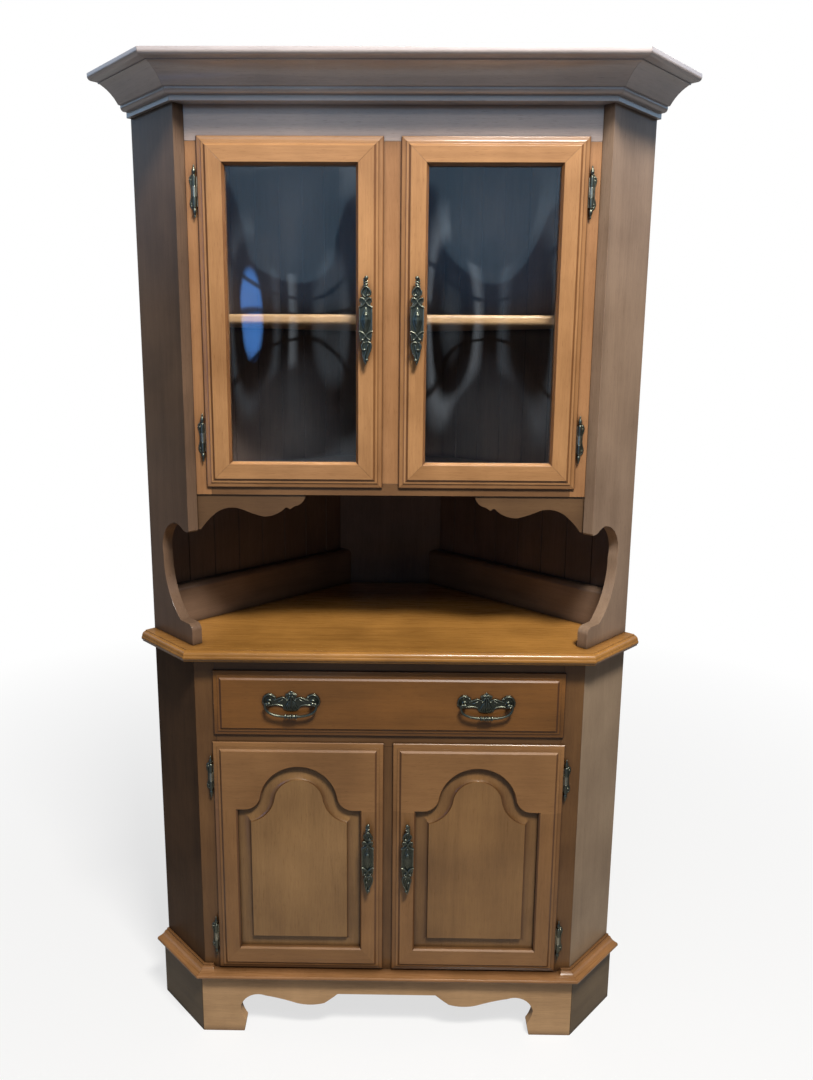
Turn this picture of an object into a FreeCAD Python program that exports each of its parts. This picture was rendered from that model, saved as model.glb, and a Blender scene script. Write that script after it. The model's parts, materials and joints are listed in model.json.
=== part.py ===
import FreeCAD, Part
import math
import os

# Corner curio cabinet, free-standing in a 90 degree corner of a room.
# Lower case with one drawer and two raised-panel doors, open niche above the counter,
# upper case with two bubble-glass doors and one shelf, crown moulding on top.
# Units are millimetres. X runs along the front, Y runs back into the corner, Z is up.
# Sizes are laid out from the front plane of the case: y = 0 joins the two front corners.
# Every piece moves by PLAN_SHIFT on saving, so the origin is at floor level in the
# middle of the whole plan.

V = FreeCAD.Vector
S = math.sqrt(0.5)                           # sine and cosine of the 45 degree canted sides
MITRE = math.tan(math.radians(22.5))         # slope of the mitre at a front corner
FAR = 1500.0                                 # reach of a cutting block, beyond any piece

# ---- Plan of the case ----
front_width = 776.0          # between the two front corners
cant_width = 151.0           # width of each canted side
body_depth = 478.0           # from the front plane to the back of the rear board

# ---- Heights, from the floor up ----
plinth_height = 128.0
base_moulding_height = 28.0
moulding_relief = 10.0       # front base moulding lowered under the doors
door_foot_gap = 3.5          # lower doors above the lowered moulding
lower_door_height = 514.5
drawer_rail_reveal = 16.0    # rail that shows between the doors and the drawer
drawer_front_height = 136.5
top_rail_reveal = 27.0       # rail that shows above the drawer
counter_thickness = 22.5
niche_height = 301.0
bottom_rail_reveal = 15.0    # rail that shows below the glass doors
upper_door_height = 634.0
crown_rail_reveal = 52.0     # rail that shows above the glass doors
crown_height = 62.0
crown_rise = 25.0            # crown above the top of the upper case

# ---- Boards ----
frame_thickness = 19.0       # face frames and lower side boards
hutch_side_thickness = 22.0
back_thickness = 6.0
rear_thickness = 10.0
shelf_thickness = 19.0
plinth_thickness = 20.0
valance_thickness = 16.0
valance_setback = 3.0        # valance behind the front of the upper frame
gallery_thickness = 19.0
gallery_height = 86.0
gallery_nose = 12.0          # rounding of the rail's inner top corner
shelf_setback = 22.0         # shelf edge behind the upper frame
shelf_height = 319.0         # shelf top above the upper case floor
groove_pitch = 64.0          # upright V grooves of the upper back panels
groove_width = 3.0
groove_cut = 1.5

# ---- How far the mouldings stand out from the case ----
crown_projection = 82.0
counter_projection = 31.0
counter_edge = 10.0          # depth of the moulded edge
base_moulding_projection = 29.0
plinth_projection = 12.0
relief_margin = 14.0         # lowered moulding beyond the outer edges of the doors
relief_radius = 10.0

# ---- Face frames ----
lip = 8.0                    # overlap of a lipped door on its frame
lip_gap = 0.3                # back of a lip in front of the frame
base_stile_reveal = 33.0     # outer lower stile that shows beside the door
base_centre_reveal = 18.6    # centre stile that shows between the lower doors
drawer_end_inset = 4.0       # drawer front shorter than the pair of doors, each end
hutch_stile_reveal = 20.8
hutch_centre_reveal = 31.0

# ---- Doors and drawer front ----
door_thickness = 19.0
door_proud = 10.0            # door face in front of the face frame
door_clearance = 1.5         # door body inside its opening
edge_width = 17.5            # moulded edge, from the rim to the flat face
edge_depth = 7.0             # rim behind the door face
glass_stick = 50.0           # stiles and rails of the glass doors
sight_bevel = 4.5
sight_bevel_depth = 6.0
rebate_width = 7.0
rebate_depth = 10.0          # glass seat behind the door face
glass_thickness = 3.0
glass_bulge = 24.0
glass_clearance = 0.3
panel_stile = 47.5           # stiles of the lower doors
panel_rail = 52.0            # bottom rail, and top rail above the arch
arch_radius = 77.0
shoulder_radius = 35.0
shoulder_drop = 95.5         # shoulders of the top rail below the top of the arch
sticking = 3.0               # small bevel round the panel opening
groove_depth = 7.0
tongue_gap = 0.1
tongue_thickness = 5.0
tongue_depth = 10.0          # tongue behind the door face
cove_width = 27.0            # cove round the raised field
cove_top = 3.2               # top of the cove, behind the door face
cove_cuts = 6                # flats that make up the cove
field_step = 1.7             # raised field in front of the cove's top

# ---- Drawer box ----
box_side_thickness = 12.0
box_height = 100.0
box_side_gap = 7.0           # drawer side inside the opening
box_rear_gap = 12.0          # rear corners of the box in front of the wall panels
box_bottom_thickness = 6.0
box_bottom_rise = 8.0
box_groove = 4.0
slide_gap = 0.3              # drawer sides above their runners and beside the guides
runner_width = 26.0
runner_thickness = 20.0
guide_width = 5.0
guide_height = 22.0

# ---- Hinges ----
hinge_length = 51.0          # barrel
hinge_inset_lower = 75.0     # middle of a hinge from the end of a lower door
hinge_inset_upper = 95.0
barrel_radius = 3.5
pin_radius = 1.5
pin_fit = 0.06
knuckle_gap = 0.3
middle_knuckle = 17.0
pivot_out = 4.5              # hinge axis outside the door edge
pivot_proud = 6.0            # hinge axis in front of the face frame
frame_leaf_width = 10.0
frame_leaf_thickness = 1.3
frame_leaf_tip = 6.0         # pointed end of a leaf beyond its barrel
door_leaf_thickness = 0.8
finial_radius = 2.6
finial_length = 20.0

# ---- Door pulls ----
pull_half = 80.0             # half the height
pull_inset = 31.5            # from the meeting edge of the door
pull_shift_lower = 12.0      # above the middle of the door
pull_shift_upper = -5.0
pull_width = 26.0
pull_standoff = 10.0
pull_thickness = 5.0
pull_post = 4.0
pull_post_spacing = 92.0
pull_ball = 4.0
pull_boss_width = 14.0       # teardrop boss in the middle
pull_boss_height = 29.0
pull_boss_rise = 2.5

# ---- Drawer bails ----
bail_inset = 157.5           # middle of a bail from the end of the drawer front
bail_post_spacing = 86.0
bail_rise = 7.0              # pivots above the middle of the drawer front
bail_standoff = 11.0         # pivots in front of the drawer face
bail_wire = 2.0              # radius
bail_pin_fit = 0.06
bail_drop = 27.0
bail_bend = 3.0              # radius of the bend beside each post
bail_sweep = 21.0            # radius of the wide bends at the bottom
bail_gap = 0.6               # straight of the pin between its post and the bend
bail_knuckle = 25.0
bail_bead = 4.0
bail_post = 4.0
plate_thickness = 2.0
plate_half = 57.5            # half the width of a backplate
plate_rise = 22.0            # backplate above its posts

# ---- Scrollwork ----
foot_width = 83.0            # bracket foot at the floor, from the front corner
apron_scroll = 201.0         # scroll of the apron, from the foot to the straight middle
apron_rail = 35.0            # apron left above its straight middle
arm_foot = 43.0              # foot of each arm on the counter
valance_length = 209.4
valance_drop = 70.0

# ---- Places that follow from the sizes above ----
half_front = front_width / 2
cant_run = cant_width * S
wall_sum = half_front + 2 * cant_run         # |x| + y on the wall planes
rear_face = body_depth - rear_thickness
PLAN_SHIFT = V(0, (crown_projection - body_depth) / 2, 0)

moulding_top = plinth_height + base_moulding_height
relief_z = moulding_top - moulding_relief
lower_door_bottom = relief_z + door_foot_gap
lower_door_top = lower_door_bottom + lower_door_height
drawer_bottom_z = lower_door_top + drawer_rail_reveal
drawer_top_z = drawer_bottom_z + drawer_front_height
base_top = drawer_top_z + top_rail_reveal
counter_top = base_top + counter_thickness
hutch_bottom = counter_top + niche_height
upper_door_bottom = hutch_bottom + bottom_rail_reveal
upper_door_top = upper_door_bottom + upper_door_height
crown_bottom = upper_door_top + crown_rail_reveal
crown_top = crown_bottom + crown_height
case_top = crown_top - crown_rise

base_floor = lower_door_bottom + lip         # tops of the case floors and bottom rails
hutch_floor = upper_door_bottom + lip
drawer_opening = drawer_bottom_z + lip
hutch_front = hutch_side_thickness * S       # upper frame, in line with the side boards
hutch_inner = half_front - hutch_front
hutch_back = hutch_front + frame_thickness

lower_outer = half_front - base_stile_reveal
lower_inner = base_centre_reveal / 2
upper_outer = hutch_inner - hutch_stile_reveal
upper_inner = hutch_centre_reveal / 2
drawer_outer = lower_outer - drawer_end_inset
base_opening = lower_outer - lip             # half width between the outer lower stiles
drawer_lip = lip - drawer_end_inset
lower_face = -door_proud
upper_face = hutch_front - door_proud


# ---- Plan geometry ----
def corner(side, offset):
    """Front corner of the plan, with both faces moved out by offset."""
    return (side * (half_front + offset * MITRE), -offset)


def side_end(side, offset):
    """Rear end of a canted face, moved out by offset, on the wall plane."""
    return (side * (half_front + cant_run + offset * S), cant_run - offset * S)


def side_point(along, inset):
    """Point on the right canted side: along it from the corner, inset into the case."""
    return (half_front + (along - inset) * S, (along + inset) * S)


def wall_point(along, inset):
    """Point on the right wall plane: along it from the canted side, inset from the wall."""
    return (half_front + cant_run - (along + inset) * S, cant_run + (along - inset) * S)


def wall_reach(y, inset):
    """How far along the wall plane a line at inset reaches depth y."""
    return (y - cant_run) / S + inset


def both_sides(points):
    """Close a plan outline that is given for the right-hand half only."""
    return points + [(-x, y) for x, y in reversed(points)]


def plan(points, z0, z1):
    """Upright prism over a plan outline."""
    corners = [V(x, y, z0) for x, y in points + points[:1]]
    return Part.Face(Part.makePolygon(corners)).extrude(V(0, 0, z1 - z0))


def interior(front_y, side_thickness, z0, z1):
    """Prism that fills the case between its side boards, back panels and rear board."""
    points = [(half_front + front_y - side_thickness / S, front_y)]
    points.append(side_point(cant_width - back_thickness, side_thickness))
    points.append(wall_point(wall_reach(rear_face, back_thickness), back_thickness))
    return plan(both_sides(points), z0, z1)


# ---- Solids ----
def box(x0, x1, y0, y1, z0, z1):
    return Part.makeBox(x1 - x0, y1 - y0, z1 - z0, V(x0, y0, z0))


def rod(start, axis, radius, length):
    return Part.makeCylinder(radius, length, start, axis)


def mirrored(shape):
    return shape.mirror(V(0, 0, 0), V(1, 0, 0))


def fused(*shapes):
    return shapes[0].fuse(list(shapes[1:])).removeSplitter()


def outline(start, *steps):
    """Closed face in X and Z. A step is a point, or a (via, end) pair for an arc."""
    edges = []
    here = start
    for step in steps + (start,):
        via, end = step if isinstance(step[0], tuple) else (None, step)
        ends = [V(here[0], 0, here[1]), V(end[0], 0, end[1])]
        if via:
            edges.append(Part.Arc(ends[0], V(via[0], 0, via[1]), ends[1]).toShape())
        elif ends[0].distanceToPoint(ends[1]) > 1e-6:
            edges.append(Part.LineSegment(*ends).toShape())
        here = end
    return Part.Face(Part.Wire(edges))


def shares(origin, width, height, steps):
    """Outline steps given as shares of a width and a height, set out from an origin."""
    def place(point):
        return (origin[0] + width * point[0], origin[1] + height * point[1])
    placed = []
    for step in steps:
        if isinstance(step[0], tuple):
            placed.append(tuple(place(point) for point in step))
        else:
            placed.append(place(step))
    return placed


def board(face, y0, y1):
    """Upright board with an outline in X and Z, between two depths."""
    return face.translated(V(0, y0, 0)).extrude(V(0, y1 - y0, 0))


def canted(shape):
    """Set a piece drawn along X and into Y on the right-hand canted side."""
    turned = shape.copy()
    turned.rotate(V(0, 0, 0), V(0, 0, 1), 45)
    return turned.translated(V(half_front, 0, 0))


def run(profile, side):
    """Endless moulding along the front (side 0) or a canted side (-1 or 1).
    The profile lies in X and Z, with X as the offset out from the case."""
    length = profile.translated(V(0, -FAR, 0)).extrude(V(0, 2 * FAR, 0))
    length.rotate(V(0, 0, 0), V(0, 0, 1), -90 + 45 * side)
    return length.translated(V(side * half_front, 0, 0))


def front_length(profile, inner_end):
    """Front moulding, mitred at both corners; inner_end is its right rear corner."""
    outer = [corner(1, FAR), corner(1, 0)]
    return run(profile, 0).common(plan(both_sides(outer + [inner_end]), 0, crown_top))


def side_length(profile, side, inset):
    """Moulding of a canted side, from the corner mitre to the wall plane."""
    points = [corner(side, FAR), corner(side, -inset), side_end(side, -inset), side_end(side, FAR)]
    return run(profile, side).common(plan(points, 0, crown_top))


def inset(rect, d):
    x0, x1, z0, z1 = rect
    return (x0 + d, x1 - d, z0 + d, z1 - d)


def slab(rect, y0, y1):
    x0, x1, z0, z1 = rect
    return box(x0, x1, y0, y1, z0, z1)


def tapered(rect0, y0, rect1, y1):
    """Block whose rectangle changes evenly from one depth to another."""
    wires = []
    for (x0, x1, z0, z1), y in ((rect0, y0), (rect1, y1)):
        corners = [(x0, z0), (x1, z0), (x1, z1), (x0, z1), (x0, z0)]
        wires.append(Part.makePolygon([V(x, y, z) for x, z in corners]))
    return Part.makeLoft(wires, True, True)


def tapered_disc(x, z, r0, y0, r1, y1):
    if abs(r0 - r1) < 1e-6:
        return Part.makeCylinder(r0, y1 - y0, V(x, y0, z), V(0, 1, 0))
    return Part.makeCone(r0, r1, y1 - y0, V(x, y0, z), V(0, 1, 0))


def save(node, *solids):
    shape = solids[0] if len(solids) == 1 else Part.makeCompound(list(solids))
    shape = shape.translated(PLAN_SHIFT)
    shape.exportStep("parts/%s.step" % node)
    print("%-28s solids %d valid %s volume %.0f" % (node, len(shape.Solids), shape.isValid(), shape.Volume))


def save_pair(node, right):
    """One node that holds a right-hand piece and its mirror image."""
    save(node, right, mirrored(right))


def save_sides(node, right):
    """A right-hand piece and its mirror image, each in its own node."""
    save(node % "right", right)
    save(node % "left", mirrored(right))


# ---- Lower case ----
def base_case():
    bottom = plinth_height
    side = [corner(1, 0), corner(1, -frame_thickness)]
    side += [side_end(1, -frame_thickness), side_end(1, 0)]
    save_sides("base_side_%s", plan(side, bottom, base_top))

    back = back_panel(frame_thickness, bottom, base_top)
    save_pair("base_back_panels", back)
    save("base_rear_board", rear_board(0, base_top))

    floor = interior(frame_thickness, frame_thickness, base_floor - shelf_thickness, base_floor)
    save("base_bottom_board", floor)

    stile = [corner(1, 0), corner(1, -frame_thickness)]
    stile += [(base_opening, frame_thickness), (base_opening, 0)]
    outer = plan(stile, bottom, base_top)
    centre_half = lower_inner + lip
    centre_top = lower_door_top - lip
    centre = box(-centre_half, centre_half, 0, frame_thickness, base_floor, centre_top)
    save("base_stiles", outer, centre, mirrored(outer))

    rails = {"base_bottom_rail": (bottom, base_floor)}
    rails["base_drawer_rail"] = (centre_top, drawer_opening)
    rails["base_top_rail"] = (drawer_top_z - lip, base_top)
    for node, (z0, z1) in rails.items():
        save(node, box(-base_opening, base_opening, 0, frame_thickness, z0, z1))


def back_panel(side_thickness, z0, z1):
    """Right-hand panel on the wall plane, from the side board to the rear board."""
    points = [wall_point(side_thickness, 0), wall_point(wall_reach(rear_face, 0), 0)]
    points.append(wall_point(wall_reach(rear_face, back_thickness), back_thickness))
    points.append(wall_point(side_thickness, back_thickness))
    return plan(points, z0, z1)


def rear_board(z0, z1):
    """Board across the rear corner, its ends bevelled to the wall planes."""
    ends = [(wall_sum - rear_face, rear_face), (wall_sum - body_depth, body_depth)]
    return plan(both_sides(ends), z0, z1)


def drawer_runners():
    """Right and left runner with its guide strip, from the frame to the back panel."""
    side_outer = base_opening - box_side_gap
    guide_inner = side_outer + slide_gap
    outer = guide_inner + guide_width
    z = drawer_opening
    deck = box(outer - runner_width, outer, frame_thickness, FAR, z - runner_thickness, z)
    guide = box(guide_inner, outer, frame_thickness, FAR, z, z + guide_height)
    room = interior(frame_thickness, frame_thickness, plinth_height, base_top)
    save_pair("drawer_runners", fused(deck, guide).common(room))


def plinth():
    """Scrolled front apron on bracket feet, and a plain board on each canted side."""
    inner = plinth_thickness - plinth_projection
    outer = plinth_projection
    stock = outline((-inner, 0), (outer, 0), (outer, plinth_height), (-inner, plinth_height))
    save("plinth_front", front_length(stock, corner(1, -inner)).cut(apron_cut()))
    save("plinth_sides", *[side_length(stock, side, inner) for side in (-1, 1)])


def apron_cut():
    """Scrolled cut-out under the front apron, between the bracket feet."""
    foot = half_front - foot_width
    top = plinth_height - apron_rail
    half = shares((foot, 0), -apron_scroll, top, [
        (0, 0), (0.025, 0.29), ((-0.012, 0.44), (-0.035, 0.62)), ((0.06, 0.91), (0.23, 0.935)),
        ((0.4, 0.855), (0.56, 0.75)), ((0.72, 0.71), (0.86, 0.76)), ((0.945, 0.9), (1, 1))])
    right = outline((0, -1), (foot, -1), *half, (0, top))
    depth = plinth_thickness * 2
    return board(right, -depth, depth).fuse(board(mirrored(right), -depth, depth))


def base_moulding():
    """Nosed moulding on the plinth, lowered under the doors so that they swing over it."""
    p = base_moulding_projection
    profile = outline(*shares((0, plinth_height), p, base_moulding_height, [
        (0, 0), (0.48, 0), ((0.6, 0.25), (0.86, 0.36)), (0.93, 0.375), ((1, 0.5), (0.93, 0.64)),
        (0.76, 0.66), ((0.48, 0.73), (0.31, 0.89)), (0.17, 0.89), (0.17, 1), (0, 1)]))
    front = front_length(profile, corner(1, 0))
    end = lower_outer + relief_margin
    r = relief_radius
    arc = r * (1 - S)
    relief = outline(
        (end, moulding_top + 1), (end, relief_z + r), ((end - arc, relief_z + arc), (end - r, relief_z)),
        (r - end, relief_z), ((arc - end, relief_z + arc), (-end, relief_z + r)), (-end, moulding_top + 1))
    save("base_moulding_front", front.cut(board(relief, -2 * p, 0)))
    save("base_moulding_sides", *[side_length(profile, side, 0) for side in (-1, 1)])


def countertop():
    """Five-sided top with a moulded front edge on its front and canted sides."""
    edge = shares((counter_projection - counter_edge, base_top), counter_edge, counter_thickness, [
        (0, 1), (0, 0.93), ((0.6, 0.8), (0.85, 0.51)), ((1, 0.31), (0.7, 0.11)), (0.7, 0)])
    profile = outline((-FAR, counter_top), *edge, (-FAR, base_top))
    wall = both_sides([(wall_sum + FAR, -FAR), (wall_sum - body_depth, body_depth)])
    slab_top = plan(wall, base_top, counter_top)
    for side in (-1, 0, 1):
        slab_top = slab_top.common(run(profile, side))
    save("countertop", slab_top)


# ---- Upper case ----
def hutch_case():
    thickness = hutch_side_thickness
    face = arm_outline()
    save_sides("hutch_side_%s", canted(board(face, 0, thickness)))
    panel = back_panel(thickness, counter_top, case_top)
    last = wall_reach(rear_face, back_thickness)
    at = thickness + groove_pitch
    while at < last:
        edges = (at - groove_width / 2, at + groove_width / 2)
        groove = [wall_point(edge, back_thickness) for edge in edges]
        groove.append(wall_point(at, back_thickness - groove_cut))
        panel = panel.cut(plan(groove, counter_top, case_top))
        at += groove_pitch
    save_pair("hutch_back_panels", panel)
    save("hutch_rear_board", rear_board(counter_top, case_top))

    save("hutch_floor", interior(hutch_back, thickness, hutch_floor - shelf_thickness, hutch_floor))
    shelf_top = hutch_floor + shelf_height
    shelf_front = hutch_back + shelf_setback
    save("hutch_shelf", interior(shelf_front, thickness, shelf_top - shelf_thickness, shelf_top))
    save("hutch_top", interior(hutch_back, thickness, case_top - shelf_thickness, case_top))

    opening = upper_outer - lip
    centre_half = upper_inner + lip
    opening_top = upper_door_top - lip
    edge = [(hutch_inner, hutch_front), (hutch_inner + frame_thickness, hutch_back)]
    outer = plan([(opening, hutch_front), *edge, (opening, hutch_back)], hutch_bottom, opening_top)
    centre = box(-centre_half, centre_half, hutch_front, hutch_back, hutch_floor, opening_top)
    save("hutch_stiles", outer, centre, mirrored(outer))
    bottom_rail = box(-opening, opening, hutch_front, hutch_back, hutch_bottom, hutch_floor)
    save("hutch_bottom_rail", bottom_rail)
    save("hutch_top_rail", plan(both_sides(edge), opening_top, case_top))


def arm_outline():
    """Side board seen square on: scrolled foot and arm below, straight front edge above."""
    foot = shares((0, counter_top), cant_width, arm_foot, [
        (0, 0.67), ((0.03, 0.9), (0.106, 0.99)), (0.285, 1)])
    bow = shares((0, counter_top), cant_width, arm_foot, [(0.53, 2.02)])
    scroll = shares((0, hutch_bottom), cant_width, -valance_drop, [
        (0.658, 1.9), ((0.556, 1.1), (0.298, 0.87)), ((0.218, 0.914), (0.143, 1.004)),
        ((0.08, 1.046), (0.02, 1.043)), (0, 1)])
    return outline(
        (0, counter_top), *foot, (bow[0], scroll[0]), *scroll[1:], (0, case_top),
        (cant_width, case_top), (cant_width, counter_top))


def valance():
    """Scrolled bracket under each end of the upper case's bottom rail."""
    z = hutch_bottom
    start = hutch_inner - valance_length
    end = hutch_inner + frame_thickness
    steps = shares((start, z), valance_length, -valance_drop, [
        (0, 0), ((0.03, 0.21), (0.1, 0.32)), (0.15, 0.42), ((0.165, 0.375), (0.19, 0.37)),
        ((0.275, 0.55), (0.4, 0.617)), ((0.495, 0.535), (0.58, 0.436)), ((0.7, 0.376), (0.835, 0.53)),
        ((0.915, 0.755), (0.98, 1))])
    right = outline(*steps, (end, z - valance_drop), (end, z))
    front = hutch_front + valance_setback
    bracket = board(right, front, front + valance_thickness)
    room = interior(hutch_front, hutch_side_thickness, counter_top, case_top)
    save_pair("valance_brackets", bracket.common(room))


def gallery():
    """Low rail on the counter along each wall, its inner top edge rounded."""
    low = counter_top
    high = counter_top + gallery_height
    near = back_thickness
    far = back_thickness + gallery_thickness
    r = gallery_nose
    arc = r * (1 - S)
    profile = outline(
        (near, low), (far, low), (far, high - r), ((far - arc, high - arc), (far - r, high)), (near, high))
    rail = profile.translated(V(0, -FAR, 0)).extrude(V(0, 2 * FAR, 0))
    rail.rotate(V(0, 0, 0), V(0, 0, 1), -135)
    rail = rail.translated(V(*wall_point(0, 0), 0))
    start = hutch_side_thickness
    ends = [wall_point(start, near), wall_point(wall_reach(rear_face, near), near)]
    ends += [wall_point(wall_reach(rear_face, far), far), wall_point(start, far)]
    save_pair("gallery_rails", rail.common(plan(ends, low, high)))


def crown():
    """Crown moulding: fascia, bead, deep cove and square top edge, mitred at the corners."""
    face = shares((0, crown_bottom), crown_projection, crown_height, [
        (0.1, 0), (0.1, 0.16), (0.146, 0.16), ((0.226, 0.2), (0.244, 0.29)), (0.244, 0.32), (0.293, 0.32),
        ((0.463, 0.58), (0.707, 0.774)), (0.756, 0.774), (0.756, 0.806), (0.915, 0.806),
        ((0.976, 0.84), (1, 0.92)), (1, 1)])
    front = outline((-hutch_front, crown_bottom), *face, (-hutch_front, crown_top))
    save("crown_front", front_length(front, (hutch_inner, hutch_front)))
    canted_face = outline((0, crown_bottom), *face, (0, crown_top))
    save("crown_sides", *[side_length(canted_face, side, 0) for side in (-1, 1)])


# ---- Lipped fronts ----
def lipped_front(rect, face, lip_x, lip_z):
    """Slab with a moulded edge in front of the frame and a body inside the opening.
    The edge has a rounded rim, a shallow cove, a fillet, a quirk and a bevelled face."""
    lip_back = face + door_proud - lip_gap
    edge = shares((0, face), edge_width, edge_depth, [
        (0, 1), (0.06, 0.84), (0.16, 0.76), (0.38, 0.7), (0.54, 0.57), (0.54, 0.45), (0.78, 0.42), (1, 0)])
    pieces = [slab(rect, edge[0][1], lip_back)]
    for (d0, y0), (d1, y1) in zip(edge, edge[1:]):
        pieces.append(tapered(inset(rect, d1), y1, inset(rect, d0), y0))
    x0, x1, z0, z1 = rect
    dx = lip_x + door_clearance
    dz = lip_z + door_clearance
    pieces.append(box(x0 + dx, x1 - dx, lip_back, face + door_thickness, z0 + dz, z1 - dz))
    return fused(*pieces)


def front_piece(whole, corners):
    """Part of a door frame that lies within an outline of corners."""
    return whole.common(board(outline(corners[0], *corners[1:]), -FAR, FAR))


def arch(rect, d0, y0, d1, y1):
    """Block with the arched opening's outline, drawn in by d0 at depth y0 and d1 at y1."""
    x0, x1, z0, z1 = rect
    x = (x0 + x1) / 2
    z = z1 - arch_radius
    shoulder_z = z1 - shoulder_drop
    rise = shoulder_z + shoulder_radius - z
    reach = math.sqrt((arch_radius + shoulder_radius) ** 2 - rise ** 2)
    walls = tapered(inset(rect, d0), y0, inset(rect, d1), y1)
    lower = (x0, x1, z0, shoulder_z)
    body = tapered(inset(lower, d0), y0, inset(lower, d1), y1)
    crest = tapered_disc(x, z, arch_radius - d0, y0, arch_radius - d1, y1)
    base_z = shoulder_z - cove_width - edge_width
    valley = z + rise
    neck = board(outline(
        (x - reach, valley), (x, z), (x + reach, valley), (x + reach, base_z), (x - reach, base_z)), y0, y1)
    for side in (-1, 1):
        r = shoulder_radius
        neck = neck.cut(tapered_disc(x + side * reach, valley, r + d0, y0, r + d1, y1))
    return fused(body, crest, neck.common(walls))


def lower_door():
    """Right-hand lower door: mitred stiles, arched top rail and raised panel."""
    face = lower_face
    rect = (lower_inner, lower_outer, lower_door_bottom, lower_door_top)
    x0, x1, z0, z1 = rect
    opening = (x0 + panel_stile, x1 - panel_stile, z0 + panel_rail, z1 - panel_rail)
    back = face + door_thickness
    tongue_front = face + tongue_depth
    tongue_back = tongue_front + tongue_thickness

    frame = lipped_front(rect, face, lip, lip)
    frame = frame.cut(arch(opening, -sticking, face, 0, face + sticking))
    frame = frame.cut(arch(opening, 0, face + sticking, 0, back))
    frame = frame.cut(arch(opening, -groove_depth, tongue_front, -groove_depth, tongue_back))

    middle = (x0 + x1) / 2
    slant = panel_rail / panel_stile
    apex = (middle, z0 + (middle - x0) * slant)
    shoulder = opening[3] - shoulder_drop
    stiles = []
    for x in (x0, x1):
        stiles.append(front_piece(frame, [(x, z0), (x, shoulder), (middle, shoulder), apex]))
    bottom_rail = front_piece(frame, [(x0, z0), (x1, z0), apex])
    top_rail = front_piece(frame, [(x0, shoulder), (x1, shoulder), (x1, z1), (x0, z1)])
    save_group("lower_door_%s_stiles", stiles)
    save_group("lower_door_%s_rails", [bottom_rail, top_rail])

    edge = tongue_gap - groove_depth
    cove_front = face + cove_top
    pieces = [arch(opening, edge, tongue_front, edge, tongue_back)]
    pieces.append(arch(opening, cove_width, cove_front - field_step, cove_width, cove_front))
    cove = []
    for i in range(cove_cuts + 1):
        angle = math.radians(90) * i / cove_cuts
        inward = tongue_gap + (cove_width - tongue_gap) * math.sin(angle)
        cove.append((inward, cove_front + (tongue_front - cove_front) * math.cos(angle)))
    for (d0, y0), (d1, y1) in zip(cove, cove[1:]):
        pieces.append(arch(opening, d1, y1, d0, y0))
    save_sides("lower_door_%s_panel", fused(*pieces))

    middle_z = (z0 + z1) / 2 + pull_shift_lower
    save_sides("lower_door_%s_pull", door_pull(x0 + pull_inset, face, middle_z))
    heights = (z0 + hinge_inset_lower, z1 - hinge_inset_lower)
    save_group("lower_door_%s_hinge_leaves", [door_leaf(x1, 0, z) for z in heights])
    return [frame_leaf(x1 + pivot_out, 0, z) for z in heights]


def upper_door():
    """Right-hand upper door: mitred frame, bubble glass and its stops."""
    face = upper_face
    rect = (upper_inner, upper_outer, upper_door_bottom, upper_door_top)
    x0, x1, z0, z1 = rect
    back = face + door_thickness
    sight = inset(rect, glass_stick)
    rebate = inset(sight, -rebate_width)
    seat = face + rebate_depth

    frame = lipped_front(rect, face, lip, lip)
    frame = frame.cut(tapered(inset(sight, -sight_bevel), face, sight, face + sight_bevel_depth))
    frame = frame.cut(slab(sight, face, back))
    frame = frame.cut(slab(rebate, seat, back))

    glass_front = seat + glass_clearance
    glass_back = glass_front + glass_thickness
    pane = inset(rebate, glass_clearance)
    save_sides("upper_door_%s_glass", bubble(pane, glass_front))
    stops = slab(rebate, glass_back, back).cut(slab(sight, glass_back, back))

    half = (x1 - x0) / 2
    low = (x0 + half, z0 + half)
    high = (x0 + half, z1 - half)
    upright = [[(x, z0), (x, z1), high, low] for x in (x0, x1)]
    level = [[(x0, z0), (x1, z0), low], [(x0, z1), (x1, z1), high]]
    save_group("upper_door_%s_stiles", [front_piece(frame, piece) for piece in upright])
    save_group("upper_door_%s_rails", [front_piece(frame, piece) for piece in level])
    save_group("upper_door_%s_glass_stops", [front_piece(stops, piece) for piece in upright + level])

    middle_z = (z0 + z1) / 2 + pull_shift_upper
    save_sides("upper_door_%s_pull", door_pull(x0 + pull_inset, face, middle_z))
    heights = (z0 + hinge_inset_upper, z1 - hinge_inset_upper)
    save_group("upper_door_%s_hinge_leaves", [door_leaf(x1, hutch_front, z) for z in heights])
    return [frame_leaf(x1 + pivot_out, hutch_front, z) for z in heights]


def save_group(node, solids):
    """Several right-hand solids in one node, and their mirror images in another."""
    save(node % "right", *solids)
    save(node % "left", *[mirrored(solid) for solid in solids])


def bubble(rect, front):
    """Pane that swells towards the front, flat at its four edges."""
    x0, x1, z0, z1 = rect
    rows = []
    for i in range(9):
        u = i / 4 - 1
        row = []
        for j in range(13):
            v = j / 6 - 1
            swell = glass_bulge * (1 - u * u) ** 2 * (1 - v * v) ** 2
            row.append(V(x0 + (x1 - x0) * (u + 1) / 2, front - swell, z0 + (z1 - z0) * (v + 1) / 2))
        rows.append(row)
    surface = Part.BSplineSurface()
    surface.interpolate(rows)
    return surface.toShape().extrude(V(0, glass_thickness, 0))


# ---- Hardware ----
def knuckle(x, y, z0, z1):
    return rod(V(x, y, z0), V(0, 0, 1), barrel_radius, z1 - z0)


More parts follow.
